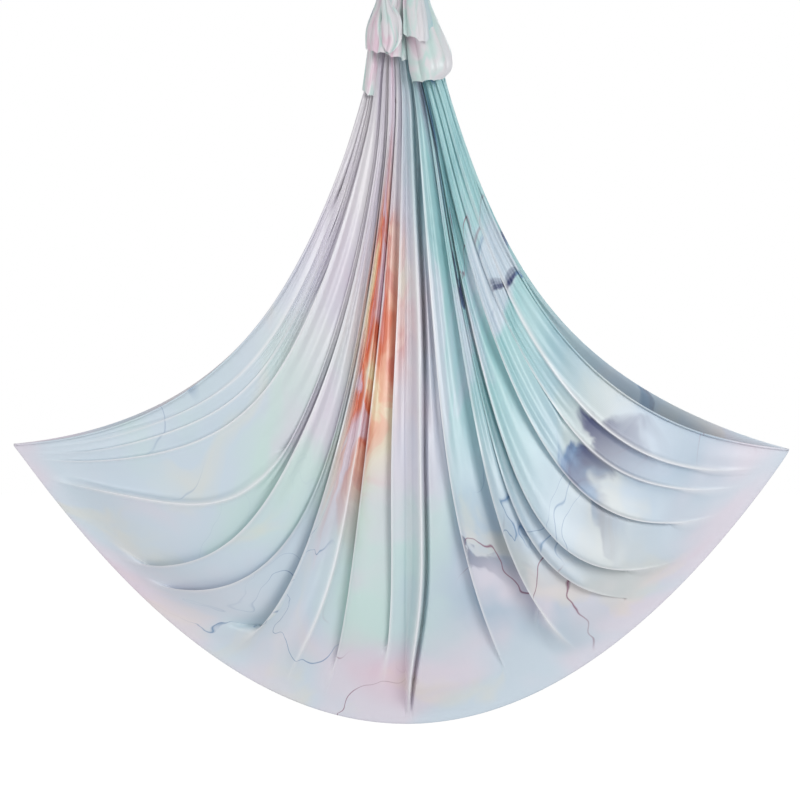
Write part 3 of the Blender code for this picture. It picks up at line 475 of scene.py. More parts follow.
def grid_mesh(name, points, uv):
    """A quad mesh from rows by columns of points, with flat coordinates in metres as its UV map."""
    rows, columns = points.shape[:2]
    mesh = bpy.data.meshes.new(name)
    index = np.arange(rows * columns).reshape(rows, columns)
    quads = np.stack([index[:-1, :-1], index[1:, :-1], index[1:, 1:], index[:-1, 1:]], axis=-1)
    quads = quads.reshape(-1, 4)
    mesh.vertices.add(rows * columns)
    mesh.vertices.foreach_set("co", points.astype(np.float32).ravel())
    mesh.loops.add(quads.size)
    mesh.loops.foreach_set("vertex_index", quads.ravel().astype(np.int32))
    mesh.polygons.add(len(quads))
    mesh.polygons.foreach_set("loop_start", np.arange(0, quads.size, 4, dtype=np.int32))
    layer = mesh.uv_layers.new(name="flat")
    layer.data.foreach_set("uv", uv.reshape(-1, 2)[quads.ravel()].astype(np.float32).ravel())
    mesh.update(calc_edges=True)
    mesh.validate()
    mesh.shade_smooth()
    obj = bpy.data.objects.new(name, mesh)
    bpy.context.scene.collection.objects.link(obj)
    return obj


def make_panel():
    """The panel as one sheet: the front layer, the round of the bottom fold and the back layer."""
    front, front_flat, front_along, front_highlight = panel_layer(-1)
    back, back_flat, back_along, back_highlight = panel_layer(1)
    front_sheet = curled(front, -1)
    back_sheet = curled(back, 1)
    sides = len(CURL_ANGLES_DEG)
    angles = np.radians(FOLD_ROWS_DEG)
    rows = [front_sheet]
    for share, angle in zip(np.linspace(0, 1, len(angles) + 2)[1:-1], angles):
        under = front_sheet[-1] * (1 - share) + back_sheet[-1] * share
        ring = (front[-1] + back[-1]) / 2
        ring[:, 1] -= FOLD_RADIUS * math.cos(angle)
        ring[:, 2] -= FOLD_RADIUS * math.sin(angle)
        under[sides:-sides] = ring
        rows.append(under[None])
    rows.append(back_sheet[::-1])
    under_flat = np.tile((front_flat[-1] + back_flat[-1]) / 2, (len(angles), 1))
    zeros = np.zeros_like(under_flat)
    flat = np.concatenate([front_flat, under_flat, back_flat[::-1]])
    along = np.concatenate([front_along, zeros, -back_along[::-1]])
    taut = np.concatenate([front_highlight, zeros, back_highlight[::-1]])
    pad = ((0, 0), (sides, sides))
    uv = np.stack([np.pad(flat, pad, mode="edge"), np.pad(along, pad, mode="edge")], axis=-1)
    panel = grid_mesh("hammock_panel", np.concatenate(rows), uv)
    # The painted highlight along the crests, kept on the points for the cloth's colour
    attribute = panel.data.attributes.new("taut", "FLOAT", "POINT")
    attribute.data.foreach_set("value", np.pad(taut, pad).astype(np.float32).ravel())
    return panel


# A bundle's pleats: how they wander, how sharp and uneven they are, and a way that no bundle starts along
BUNDLE_PLEAT_COLUMNS = 10
BUNDLE_WANDER = 0.6
BUNDLE_SHARPNESS = 0.7
BUNDLE_UNEVENNESS = 0.3
BUNDLE_UNEVEN_ROUND = 3
BUNDLE_UNEVEN_ALONG = 40
SKEW_WAY = (0.31, 0.83, 0.46)

# Each bundle's radius, number of pleats and their depth, and its twist in radians a metre
WRAP_RADIUS = 0.0122
LOOP_PLEATS = (LOOP_RADIUS, 9, 0.0028)
WRAP_PLEATS = (WRAP_RADIUS, 8, 0.0030)
CORE_PLEATS = (0.019, 11, 0.0045)
LOOP_TWIST = 6.0
WRAP_TWIST = 9.0
CORE_TWIST = 5.0

# The bundles on the flat panel: how far back from its side's middle each starts, its width, and its end
SIDE_MIDDLE = 0.6
LOOP_FLAT = (0.2, 0.5, 2.4)
WRAP_FLAT = (0.3, 0.6, 2.5)
CORE_FLAT = (0.3, 0.6, 2.6)

# The loop's legs, and its turn over the bar
LEG_TUCK = 0.012
LEG_PINCH = 0.006
LEG_ROWS = 14
TURN_ROWS = 21

# The knot's wraps go twice round and three times up and down; the core goes straight through them
WRAP_ROWS = 121
WRAP_ROUNDS = 2
WRAP_CROSSINGS = 3
WRAP_EYE = 2.05
WRAP_PHASE = 0.5
CORE_ROWS = 30
CORE_ABOVE = 0.004
CORE_EXTRA = 0.030
CORE_SHIFT_X = 0.004
CORE_SHIFT_Y = 0.006
CORE_SIZE_PLACES = (0, 0.3, 0.8, 1.0)
CORE_SIZES = (0.9, 0.8, 0.95, 1.25)


def swept(name, path, radius, pleats, pleat_depth, twist, flat_place, sizes=1.0):
    """A bundle of gathered cloth along a path: a tube whose skin is drawn into lengthwise pleats."""
    path = np.array(path, float)
    along = unit(np.gradient(path, axis=0))
    side = np.cross(along[0], SKEW_WAY)
    sides = []
    for way in along:
        side = side - way * np.dot(side, way)
        side /= np.linalg.norm(side)
        sides.append(side)
    sides = np.array(sides)
    ups = np.cross(along, sides)
    run = np.concatenate([[0.0], np.cumsum(np.linalg.norm(np.diff(path, axis=0), axis=1))])[:, None]
    turn = np.linspace(0, 2 * math.pi, pleats * BUNDLE_PLEAT_COLUMNS + 1)[None, :]
    spun = turn + twist * run
    size = radius * (sizes * np.ones(len(path)))[:, None]
    crease = np.abs(np.sin(turn * pleats / 2 + BUNDLE_WANDER * np.sin(2 * turn))) ** BUNDLE_SHARPNESS
    uneven = 1 + BUNDLE_UNEVENNESS * np.sin(BUNDLE_UNEVEN_ROUND * turn + BUNDLE_UNEVEN_ALONG * run)
    round_size = size - pleat_depth * (1 - crease) * uneven
    points = path[:, None] + round_size[..., None] * (
        np.cos(spun)[..., None] * sides[:, None] + np.sin(spun)[..., None] * ups[:, None]
    )
    start, width, end = flat_place
    flat_x = start + width * turn / (2 * math.pi) + 0 * run
    flat_y = end + run * np.sign(end) + 0 * turn
    return grid_mesh(name, points, np.stack([flat_x, flat_y], axis=-1))


def bundle_flat(side, back, width, end):
    """A bundle's place on the flat panel, for the end of the panel that hangs on that side."""
    return SIDE_MIDDLE * side - back, width, -end * side


def make_loop(word, side):
    """One gathered end over the carabiner's bar, its two legs drawn together into the knot."""
    bend = LOOP_HIGH.y - LOOP_RADIUS
    low_z = LOOP_LOW.z - LEG_TUCK
    legs = []
    for way in (-1, 1):
        low_y = KNOT_CENTRE.y + way * (bend - LEG_PINCH)
        leg = []
        for share in np.linspace(0, 1, LEG_ROWS)[:-1]:
            ease = smooth_step(0, 1, share)
            x = side * (KNOT_CENTRE.x + (LOOP_SIDE - KNOT_CENTRE.x) * ease)
            leg.append((x, low_y + (way * bend - low_y) * ease, low_z + (BAR_Z - low_z) * share))
        legs.append(leg)
    turn = []
    for angle in np.radians(np.linspace(180, 0, TURN_ROWS)):
        turn.append((side * LOOP_SIDE, bend * math.cos(angle), BAR_Z + bend * math.sin(angle)))
    path = legs[0] + turn + legs[1][::-1]
    return swept(f"{word}_loop", path, *LOOP_PLEATS, LOOP_TWIST * side, bundle_flat(side, *LOOP_FLAT))


def make_wraps(word, side):
    """A pulled-down overhand knot: the bundle crosses itself three times round its own standing part."""
    rise = (KNOT_HIGH.z - KNOT_LOW.z) / 2 - WRAP_RADIUS
    reach = (KNOT_HIGH.x - KNOT_LOW.x) / 2 - WRAP_RADIUS
    path = []
    for turn in np.linspace(0, 2 * math.pi, WRAP_ROWS):
        out = reach * (WRAP_EYE + math.cos(WRAP_CROSSINGS * turn)) / (WRAP_EYE + 1)
        x = KNOT_CENTRE.x + side * out * math.cos(WRAP_ROUNDS * turn + WRAP_PHASE)
        y = KNOT_CENTRE.y + out * math.sin(WRAP_ROUNDS * turn + WRAP_PHASE)
        path.append((side * x, y, KNOT_CENTRE.z + rise * math.sin(WRAP_CROSSINGS * turn)))
    return swept(f"{word}_knot_wraps", path, *WRAP_PLEATS, WRAP_TWIST, bundle_flat(side, *WRAP_FLAT))


def make_core(word, side):
    """The bundle straight through the knot, which swells out of it below."""
    length = KNOT_HIGH.z - KNOT_LOW.z + CORE_EXTRA
    shares = np.linspace(0, 1, CORE_ROWS)
    path = []
    for share in shares:
        x = side * (KNOT_CENTRE.x - CORE_SHIFT_X * share)
        path.append((x, KNOT_CENTRE.y + CORE_SHIFT_Y * share, KNOT_HIGH.z + CORE_ABOVE - length * share))
    sizes = np.interp(shares, CORE_SIZE_PLACES, CORE_SIZES)
    return swept(f"{word}_neck", path, *CORE_PLEATS, CORE_TWIST, bundle_flat(side, *CORE_FLAT), sizes)


# A tail's folds: how they wander, how sharp and uneven they are, and where they set in and shape the hem
FLAP_ROWS = 57
FLAP_FOLD_COLUMNS = 14
FLAP_WANDER = 0.05
FLAP_WANDER_TURNS = 1.4
FLAP_DRIFT = 0.03
FLAP_DRIFT_TURN = 3.1
FLAP_SHARPNESS = 0.75
FLAP_CREASE_MIDDLE = 0.6
FLAP_MEAN_DEPTH = 0.75
FLAP_UNEVENNESS = 0.35
FLAP_UNEVEN_TURNS = 1.1
FLAP_UNEVEN_PHASE = 2.3
FLAP_DOWN = (0.0, 0.35)
HEM_CALM = 0.3
HEM_CALM_DOWN = (0.8, 1.0)
HEM_WAVE = 0.006
HEM_WAVE_DOWN = (0.7, 1.0)
TAIL_TUCK = 0.030
TAIL_TOP = KNOT_LOW.z + TAIL_TUCK

# Rows of points from inside the knot to the hem, each from the inner edge round the front to the outer edge
RIGHT_BUNCH_ROWS = (
    ((0.025, -0.006, TAIL_TOP), (0.027, -0.015, TAIL_TOP), (0.033, -0.020, TAIL_TOP),
     (0.039, -0.015, TAIL_TOP), (0.041, -0.008, TAIL_TOP), (0.038, -0.002, TAIL_TOP)),
    ((0.012, -0.008, -0.430), (0.017, -0.028, -0.430), (0.033, -0.038, -0.430),
     (0.048, -0.030, -0.430), (0.054, -0.012, -0.430), (0.044, 0.004, -0.430)),
    ((0.000, -0.020, -0.521), (0.010, -0.052, -0.521), (0.030, -0.062, -0.521),
     (0.052, -0.052, -0.521), (0.063, -0.022, -0.521), (0.050, 0.000, -0.521)),
    ((0.002, -0.030, -0.600), (0.020, -0.070, -0.600), (0.048, -0.084, -0.600),
     (0.080, -0.068, -0.600), (0.096, -0.030, -0.600), (0.075, 0.000, -0.600)),
    ((0.007, -0.040, -0.672), (0.030, -0.084, -0.672), (0.064, -0.102, -0.672),
     (0.104, -0.082, -0.672), (0.126, -0.036, -0.670), (0.100, 0.002, -0.668)),
    ((0.011, -0.044, -0.718), (0.034, -0.088, -0.718), (0.070, -0.108, -0.718),
     (0.111, -0.086, -0.716), (0.125, -0.040, -0.712), (0.098, 0.000, -0.706)),
    ((0.017, -0.046, -0.750), (0.040, -0.084, -0.750), (0.066, -0.098, -0.749),
     (0.092, -0.074, -0.745), (0.102, -0.040, -0.738), (0.085, -0.010, -0.730)),
)
RIGHT_RUFFLE_ROWS = (
    ((0.026, -0.016, TAIL_TOP), (0.031, -0.022, TAIL_TOP), (0.037, -0.020, TAIL_TOP),
     (0.041, -0.014, TAIL_TOP)),
    ((0.012, -0.034, -0.430), (0.024, -0.046, -0.430), (0.040, -0.044, -0.430), (0.052, -0.030, -0.430)),
    ((-0.002, -0.056, -0.521), (0.020, -0.076, -0.521), (0.044, -0.072, -0.521), (0.058, -0.050, -0.521)),
    ((-0.002, -0.078, -0.585), (0.024, -0.100, -0.585), (0.052, -0.096, -0.585), (0.070, -0.070, -0.580)),
    ((-0.003, -0.090, -0.625), (0.028, -0.114, -0.637), (0.057, -0.106, -0.646), (0.076, -0.076, -0.617)),
)
LEFT_BUNCH_ROWS = (
    ((-0.025, -0.006, TAIL_TOP), (-0.027, -0.015, TAIL_TOP), (-0.033, -0.020, TAIL_TOP),
     (-0.039, -0.015, TAIL_TOP), (-0.041, -0.008, TAIL_TOP), (-0.038, -0.002, TAIL_TOP)),
    ((-0.013, -0.008, -0.430), (-0.016, -0.028, -0.430), (-0.032, -0.037, -0.430),
     (-0.048, -0.030, -0.430), (-0.055, -0.012, -0.430), (-0.046, 0.003, -0.430)),
    ((-0.004, -0.018, -0.521), (-0.012, -0.046, -0.521), (-0.034, -0.058, -0.521),
     (-0.060, -0.050, -0.521), (-0.075, -0.022, -0.521), (-0.060, -0.002, -0.521)),
    ((0.000, -0.030, -0.600), (-0.020, -0.066, -0.600), (-0.052, -0.080, -0.600),
     (-0.085, -0.068, -0.600), (-0.103, -0.032, -0.598), (-0.080, -0.008, -0.596)),
    ((0.006, -0.036, -0.690), (-0.022, -0.074, -0.684), (-0.056, -0.092, -0.676),
     (-0.090, -0.078, -0.668), (-0.107, -0.040, -0.656), (-0.088, -0.012, -0.648)),
)
LEFT_FLAP_ROWS = (
    ((-0.030, -0.020, TAIL_TOP), (-0.033, -0.023, TAIL_TOP), (-0.037, -0.020, TAIL_TOP)),
    ((-0.022, -0.040, -0.430), (-0.032, -0.048, -0.430), (-0.043, -0.042, -0.430)),
    ((-0.040, -0.060, -0.521), (-0.050, -0.074, -0.521), (-0.062, -0.064, -0.521)),
    ((-0.012, -0.076, -0.580), (-0.040, -0.094, -0.584), (-0.061, -0.080, -0.584)),
    ((-0.011, -0.080, -0.636), (-0.036, -0.104, -0.640), (-0.061, -0.090, -0.634)),
    ((-0.032, -0.088, -0.668), (-0.046, -0.104, -0.676), (-0.061, -0.092, -0.652)),
)
LEFT_REAR_ROWS = (
    ((-0.032, -0.004, TAIL_TOP), (-0.036, -0.007, TAIL_TOP), (-0.040, -0.003, TAIL_TOP)),
    ((-0.036, -0.002, -0.430), (-0.045, -0.008, -0.430), (-0.054, 0.002, -0.430)),
    ((-0.058, -0.010, -0.560), (-0.074, -0.022, -0.560), (-0.088, -0.006, -0.560)),
    ((-0.074, -0.020, -0.700), (-0.090, -0.036, -0.692), (-0.106, -0.014, -0.684)),
    ((-0.086, -0.028, -0.788), (-0.103, -0.044, -0.782), (-0.118, -0.018, -0.766)),
)

# The loose ends of the panel in tiers: each one's name, rows, folds, their depth and phase, and its middle,
# width and hem on the flat cloth
TAIL_TIERS = {
    "left_tail": (
        ("left_tail_bunch", LEFT_BUNCH_ROWS, 6, 0.012, 0.2, (-0.9, 1.0, 2.45)),
        ("left_tail_flap", LEFT_FLAP_ROWS, 2, 0.007, 0.6, (-0.4, 0.35, 2.45)),
        ("left_tail_rear", LEFT_REAR_ROWS, 2, 0.006, 0.1, (-0.2, 0.3, 2.5)),
    ),
    "right_tail": (
        ("right_tail_bunch", RIGHT_BUNCH_ROWS, 5, 0.014, 0.85, (-0.05, 0.5, 2.6)),
        ("right_tail_ruffle", RIGHT_RUFFLE_ROWS, 4, 0.010, 0.4, (0.0, 0.4, 2.6)),
    ),
}


def smooth_grid(rows, count):
    """Points on a smooth curve through each column of the given rows."""
    rows = np.array(rows, float)
    places = np.linspace(0, len(rows) - 1, count)
    index = np.minimum(places.astype(int), len(rows) - 2)
    share = (places - index).reshape(-1, *[1] * (rows.ndim - 1))
    before, first = rows[np.maximum(index - 1, 0)], rows[index]
    second, after = rows[index + 1], rows[np.minimum(index + 2, len(rows) - 1)]
    bend = (2 * before - 5 * first + 4 * second - after) * share**2
    twist = (3 * first - before - 3 * second + after) * share**3
    return 0.5 * (2 * first + (second - before) * share + bend + twist)


def flap(name, rows, folds, depth, phase, flat_place):
    """A hanging end of cloth through given rows from the knot to the hem, in soft lengthwise folds."""
    columns = folds * FLAP_FOLD_COLUMNS + 1
    points = smooth_grid(rows, FLAP_ROWS)
    points = np.swapaxes(smooth_grid(np.swapaxes(points, 0, 1), columns), 0, 1)
    u = np.linspace(0, 1, columns)[None, :]
    v = np.linspace(0, 1, FLAP_ROWS)[:, None]
    normal = unit(np.cross(np.gradient(points, axis=1), np.gradient(points, axis=0)))
    outward = np.sign(np.mean(normal[..., 1]))
    wander = FLAP_WANDER * np.sin(2 * math.pi * FLAP_WANDER_TURNS * u + phase)
    drift = FLAP_DRIFT * np.sin(FLAP_DRIFT_TURN * v + phase)
    crease = np.abs(np.sin(math.pi * (folds * (u + wander + drift) + phase))) ** FLAP_SHARPNESS
    uneven = FLAP_UNEVENNESS * np.sin(2 * math.pi * FLAP_UNEVEN_TURNS * u + FLAP_UNEVEN_PHASE * phase)
    fade = smooth_step(*FLAP_DOWN, v) * (1 - HEM_CALM * smooth_step(*HEM_CALM_DOWN, v))
    fold = depth * (crease - FLAP_CREASE_MIDDLE) * (FLAP_MEAN_DEPTH + uneven) * fade
    points = points - normal * outward * fold[..., None]
    points[..., 2] -= HEM_WAVE * (1 - crease) * smooth_step(*HEM_WAVE_DOWN, v)
    middle, width, hem = flat_place
    length = rows[0][0][2] - rows[-1][0][2]
    flat_x = middle + width * (u - 0.5) + 0 * v
    flat_y = hem + (v - 1) * length + 0 * u
    return grid_mesh(name, points, np.stack([flat_x, flat_y], axis=-1))


def node(tree, kind, inputs=None, **settings):
    """A shader node with its settings and its inputs, linked where they are another node's output."""
    made = tree.nodes.new(kind)
    for key, value in settings.items():
        setattr(made, key, value)
    for key, value in (inputs or {}).items():
        if isinstance(value, bpy.types.NodeSocket):
            tree.links.new(value, made.inputs[key])
        else:
            made.inputs[key].default_value = value
    return made


def math_node(tree, operation, *values, **settings):
    """The result of one or two values."""
    return node(tree, "ShaderNodeMath", dict(enumerate(values)), operation=operation, **settings).outputs[0]


def times(tree, first, second):
    """The product of two values."""
    return math_node(tree, "MULTIPLY", first, second)


def ramp(tree, factor, stops, interpolation="EASE"):
    """Colours by a factor, from places with their colours."""
    made = node(tree, "ShaderNodeValToRGB", {"Fac": factor})
    made.color_ramp.interpolation = interpolation
    while len(made.color_ramp.elements) < len(stops):
        made.color_ramp.elements.new(0.5)
    for element, (place, colour) in zip(made.color_ramp.elements, stops):
        element.position = place
        element.color = (*colour, 1.0)
    return made.outputs["Color"]


def mix(tree, factor, first, second):
    """The first colour where the factor is 0, and the second where it is 1."""
    made = node(tree, "ShaderNodeMix", {"Factor": factor, "A": first, "B": second}, data_type="RGBA")
    return made.outputs["Result"]


def noise(tree, place, scale, detail, distortion=0.0, output="Fac", kind="2D"):
    """Noise over the flat cloth or, of the kind 3D, through a piece."""
    inputs = {"Vector": place, "Scale": scale, "Detail": detail, "Distortion": distortion}
    return node(tree, "ShaderNodeTexNoise", inputs, noise_dimensions=kind).outputs[output]


def between(tree, value, low, high):
    """0 at low and 1 at high, with an even curve."""
    inputs = {"Value": value, "From Min": low, "From Max": high}
    return node(tree, "ShaderNodeMapRange", inputs, interpolation_type="SMOOTHSTEP").outputs[0]


def srgb(red, green, blue):
    """An 8-bit screen colour as the linear values that a shader takes."""
    found = []
    for value in (red, green, blue):
        share = value / 255
        found.append(share / 12.92 if share <= 0.04045 else ((share + 0.055) / 1.055) ** 2.4)
    return tuple(found)


LAVENDER = srgb(222, 217, 228)
# The near-white of the painted highlight along the crests
HIGHLIGHT_WHITE = srgb(246, 247, 250)
IVORY = srgb(229, 226, 230)
MINT = srgb(202, 226, 222)
PALE_BLUE = srgb(206, 220, 231)
BLUE_GREY = srgb(180, 198, 214)
TEAL = srgb(172, 214, 217)
DEEP_TEAL = srgb(138, 190, 197)
PEACH = srgb(242, 184, 152)
CORAL = srgb(222, 116, 78)
PINK = srgb(226, 200, 214)
CREAM = srgb(242, 228, 192)
SLATE = srgb(98, 136, 176)
NAVY = srgb(44, 56, 106)
PLUM = srgb(132, 76, 106)
BLACK = (0.0, 0.0, 0.0)
WHITE = (1.0, 1.0, 1.0)

# The dye. A noise has a scale, detail and distortion. A layer sets in at a pair's first value and is full at
# its second: levels of a noise, or metres on the flat cloth, across it or along from the bottom fold.
WARP_NOISE = (1.4, 4.0)
WARP_REACH = 0.6
CLOUD_NOISE = (1.2, 4.0)
LOW_CLOUDS = ((0.28, LAVENDER), (0.42, MINT), (0.58, PALE_BLUE), (0.74, LAVENDER))
HIGH_CLOUDS = ((0.30, LAVENDER), (0.50, IVORY), (0.62, LAVENDER), (0.78, PINK))
HIGH_ALONG = (0.55, 1.25)
COOL_CLOUDS = ((0.34, PALE_BLUE), (0.52, BLUE_GREY), (0.70, LAVENDER))
COOL_ACROSS = (0.20, 0.62)
END_NOISE = (4.0, 3.0)
END_COLOURS = ((0.34, PINK), (0.44, IVORY), (0.53, MINT), (0.64, IVORY))
END_ALONG = (2.20, 2.35)
STRIP_NOISE = (1.6, 3.0)
STRIP_COLOURS = ((0.40, PALE_BLUE), (0.54, LAVENDER), (0.76, PINK))
STRIP_MIDDLE = 0.3
STRIP_BESIDE = (0.30, 0.10)
STAIN_NOISE = (2.1, 4.0, 0.4)
STAIN_LEVELS = (0.54, 0.70)
STAIN_ALONG = (1.3, 0.9)
STAIN_STRENGTH = 0.26
WASH_NOISE = (1.9, 4.0, 0.5)
WASH_COLOURS = ((0.34, PALE_BLUE), (0.46, TEAL), (0.74, DEEP_TEAL))
WASH_ALONG = (0.42, 1.0)
POOL_NOISE = (2.3, 5.0, 0.9)
POOL_LEVELS = (0.59, 0.65)
POOL_ACROSS = (0.20, 0.55)
POOL_LOW_ALONG = (0.25, 0.60)
POOL_HIGH_ALONG = (1.9, 1.6)
INK_NOISE = (4.6, 5.0, 0.8)
INK_COLOURS = ((0.38, SLATE), (0.54, NAVY))
BLOOM_NOISE = (3.0, 4.0, 0.6)
BLOOM_COLOURS = ((0.34, CREAM), (0.44, PEACH), (0.56, CORAL), (0.68, PINK))
BLOOM_PLACE = (-0.10, 1.36)
BLOOM_SIZE = (0.48, 0.72)
BLOOM_SHARES = (1.0, 0.30)
# How strongly the painted highlight whitens the crests
HIGHLIGHT_STRENGTH = 0.8

# Veins: their noise, the line's half width in that noise's values, and the noise and levels of their patches
PLUM_VEINS = ((1.3, 2.5, 0.4), 0.0026, (1.2, 1.0), (0.50, 0.60))
PLUM_ACROSS = (-0.45, 0.05)
SLATE_VEINS = ((2.6, 2.5, 0.9), 0.006, (0.9, 1.0), (0.60, 0.68))

# The cloth's sheen, and its fine knitted ribs
CLOTH_FINISH = {
    "Roughness": 0.30,
    "Specular IOR Level": 0.7,
    "Sheen Weight": 0.25,
    "Sheen Roughness": 0.35,
}
KNIT_SCALE = 260.0
KNIT_DISTORTION = 0.4
KNIT_STRENGTH = 0.12
KNIT_HEIGHT = 0.0004


def plain_material(name):
    """A new material, its node tree and its shader."""
    made = bpy.data.materials.new(name)
    made.use_nodes = True
    return made, made.node_tree, made.node_tree.nodes["Principled BSDF"]


def cloth_places(tree):
    """Places on the flat cloth in metres, plain and warped as wet dye runs."""
    flat = node(tree, "ShaderNodeUVMap", uv_map="flat").outputs["UV"]
    bend = noise(tree, flat, *WARP_NOISE, output="Color")
    bend = node(tree, "ShaderNodeVectorMath", {0: bend, "Scale": WARP_REACH}, operation="SCALE").outputs[0]
    warped = node(tree, "ShaderNodeVectorMath", {0: flat, 1: bend}, operation="ADD").outputs[0]
    straight = node(tree, "ShaderNodeSeparateXYZ", {"Vector": flat})
    bent = node(tree, "ShaderNodeSeparateXYZ", {"Vector": warped})
    return SimpleNamespace(
        flat=flat,
        warped=warped,
        across=bent.outputs["X"],
        along=bent.outputs["Y"],
        height=math_node(tree, "ABSOLUTE", straight.outputs["Y"]),
        right=between(tree, bent.outputs["X"], *COOL_ACROSS),
    )


def pale_ground(tree, cloth):
    """Soft clouds, cooler to the right, mottled at the gathered ends and calm in a strip by the fold."""
    clouds = noise(tree, cloth.warped, *CLOUD_NOISE)
    high = between(tree, cloth.height, *HIGH_ALONG)
    colour = mix(tree, high, ramp(tree, clouds, LOW_CLOUDS), ramp(tree, clouds, HIGH_CLOUDS))
    ends = ramp(tree, noise(tree, cloth.warped, *END_NOISE), END_COLOURS)
    colour = mix(tree, between(tree, cloth.height, *END_ALONG), colour, ends)
    colour = mix(tree, cloth.right, colour, ramp(tree, clouds, COOL_CLOUDS))
    strip = ramp(tree, noise(tree, cloth.flat, *STRIP_NOISE), STRIP_COLOURS)
    beside = math_node(tree, "ABSOLUTE", math_node(tree, "SUBTRACT", cloth.along, STRIP_MIDDLE))
    return mix(tree, between(tree, beside, *STRIP_BESIDE), colour, strip)


def warm_stains(tree, cloth, colour):
    """Faint warm stains in the lower half."""
    stains = between(tree, noise(tree, cloth.warped, *STAIN_NOISE), *STAIN_LEVELS)
    stains = times(tree, stains, between(tree, cloth.height, *STAIN_ALONG))
    return mix(tree, times(tree, stains, STAIN_STRENGTH), colour, (*CREAM, 1.0))


def teal_wash(tree, cloth, colour):
    """A teal wash to the right."""
    wash = ramp(tree, noise(tree, cloth.warped, *WASH_NOISE), WASH_COLOURS)
    return mix(tree, times(tree, cloth.right, between(tree, cloth.height, *WASH_ALONG)), colour, wash)


def dark_pools(tree, cloth, colour):
    """Darker pools of ink within the wash."""
    pools = between(tree, noise(tree, cloth.warped, *POOL_NOISE), *POOL_LEVELS)
    limits = ((cloth.across, POOL_ACROSS), (cloth.height, POOL_HIGH_ALONG), (cloth.height, POOL_LOW_ALONG))
    for place, pair in limits:
        pools = times(tree, pools, between(tree, place, *pair))
    ink = ramp(tree, noise(tree, cloth.warped, *INK_NOISE), INK_COLOURS)
    return mix(tree, pools, colour, ink)


def warm_bloom(tree, cloth, colour):
    """A warm bloom near the middle."""
    offsets = []
    for place, middle, half_size in zip((cloth.across, cloth.along), BLOOM_PLACE, BLOOM_SIZE):
        offsets.append(math_node(tree, "DIVIDE", math_node(tree, "SUBTRACT", place, middle), half_size))
    joined = node(tree, "ShaderNodeCombineXYZ", {"X": offsets[0], "Y": offsets[1]}).outputs[0]
    reach = node(tree, "ShaderNodeVectorMath", {0: joined}, operation="LENGTH").outputs["Value"]
    warm = ramp(tree, noise(tree, cloth.warped, *BLOOM_NOISE), BLOOM_COLOURS)
    return mix(tree, between(tree, reach, *BLOOM_SHARES), colour, warm)


def vein_mask(tree, cloth, vein_noise, half_width, patch_noise, patch_levels):
    """Thin wandering lines where a noise crosses its middle value, kept in patches."""
    stops = ((0.5 - half_width, BLACK), (0.5, WHITE), (0.5 + half_width, BLACK))
    line = ramp(tree, noise(tree, cloth.warped, *vein_noise), stops, "LINEAR")
    where = between(tree, noise(tree, cloth.warped, *patch_noise), *patch_levels)
    return times(tree, line, where)


def thin_veins(tree, cloth, colour):
    """Plum veins from the middle to the right, and slate veins all over."""
    plum = times(tree, vein_mask(tree, cloth, *PLUM_VEINS), between(tree, cloth.across, *PLUM_ACROSS))
    colour = mix(tree, plum, colour, (*PLUM, 1.0))
    return mix(tree, vein_mask(tree, cloth, *SLATE_VEINS), colour, (*SLATE, 1.0))


def painted_crest_highlight(tree, colour):
    """A painted highlight: the colour turns nearly white along the crests, where the knit is drawn taut."""
    taut = node(tree, "ShaderNodeAttribute", attribute_name="taut").outputs["Fac"]
    return mix(tree, times(tree, taut, HIGHLIGHT_STRENGTH), colour, (*HIGHLIGHT_WHITE, 1.0))


def dyed_cloth(name):
    """Silky knitted nylon with a marbled dye, placed by the cloth's flat coordinates, and a painted
    highlight along its crests.
    """
    made, tree, shader = plain_material(name)
    cloth = cloth_places(tree)
    colour = pale_ground(tree, cloth)
    for layer in (warm_stains, teal_wash, dark_pools, warm_bloom, thin_veins):
        colour = layer(tree, cloth, colour)
    # The painted highlight along the crests goes over the dye
    tree.links.new(painted_crest_highlight(tree, colour), shader.inputs["Base Color"])
    for socket, value in CLOTH_FINISH.items():
        shader.inputs[socket].default_value = value
    ribs = {"Vector": cloth.flat, "Scale": KNIT_SCALE, "Distortion": KNIT_DISTORTION}
    knit = node(tree, "ShaderNodeTexWave", ribs, bands_direction="X").outputs["Fac"]
    bump = node(tree, "ShaderNodeBump", {"Height": knit, "Strength": KNIT_STRENGTH, "Distance": KNIT_HEIGHT})
    tree.links.new(bump.outputs["Normal"], shader.inputs["Normal"])
    return made


# Metal: its fine lengthwise brushing, its smudges and its rounded edges
BRUSH_NOISE = (900.0, 3.0)
BRUSH_STRETCH = (1.0, 1.0, 0.15)
BRUSH_STRENGTH = 0.10
BRUSH_HEIGHT = 0.0003
SMUDGE_NOISE = (60.0, 3.0)
SMUDGE_SHADE = 0.86
SMUDGE_LEVELS = (0.3, 0.7)
SMOOTHER_BY = 0.07
ROUGHER_BY = 0.09
EDGE_RADIUS = 0.0016
EDGE_SAMPLES = 6

# The finish of each slot: its name, colour, roughness and metallic value
FINISHES = {
    "steel": ("satin_steel", (0.36, 0.37, 0.39), 0.32, 1.0),
    "bright_steel": ("bright_steel", (0.48, 0.49, 0.51), 0.22, 1.0),
    "spring_steel": ("spring_steel", (0.34, 0.34, 0.36), 0.34, 1.0),
    "sleeve": ("dark_anodised", (0.045, 0.05, 0.06), 0.40, 0.9),
    "alloy": ("blue_anodised", (0.06, 0.09, 0.17), 0.36, 0.9),
    "rubber": ("matt_rubber", (0.02, 0.02, 0.02), 0.75, 0.0),
}


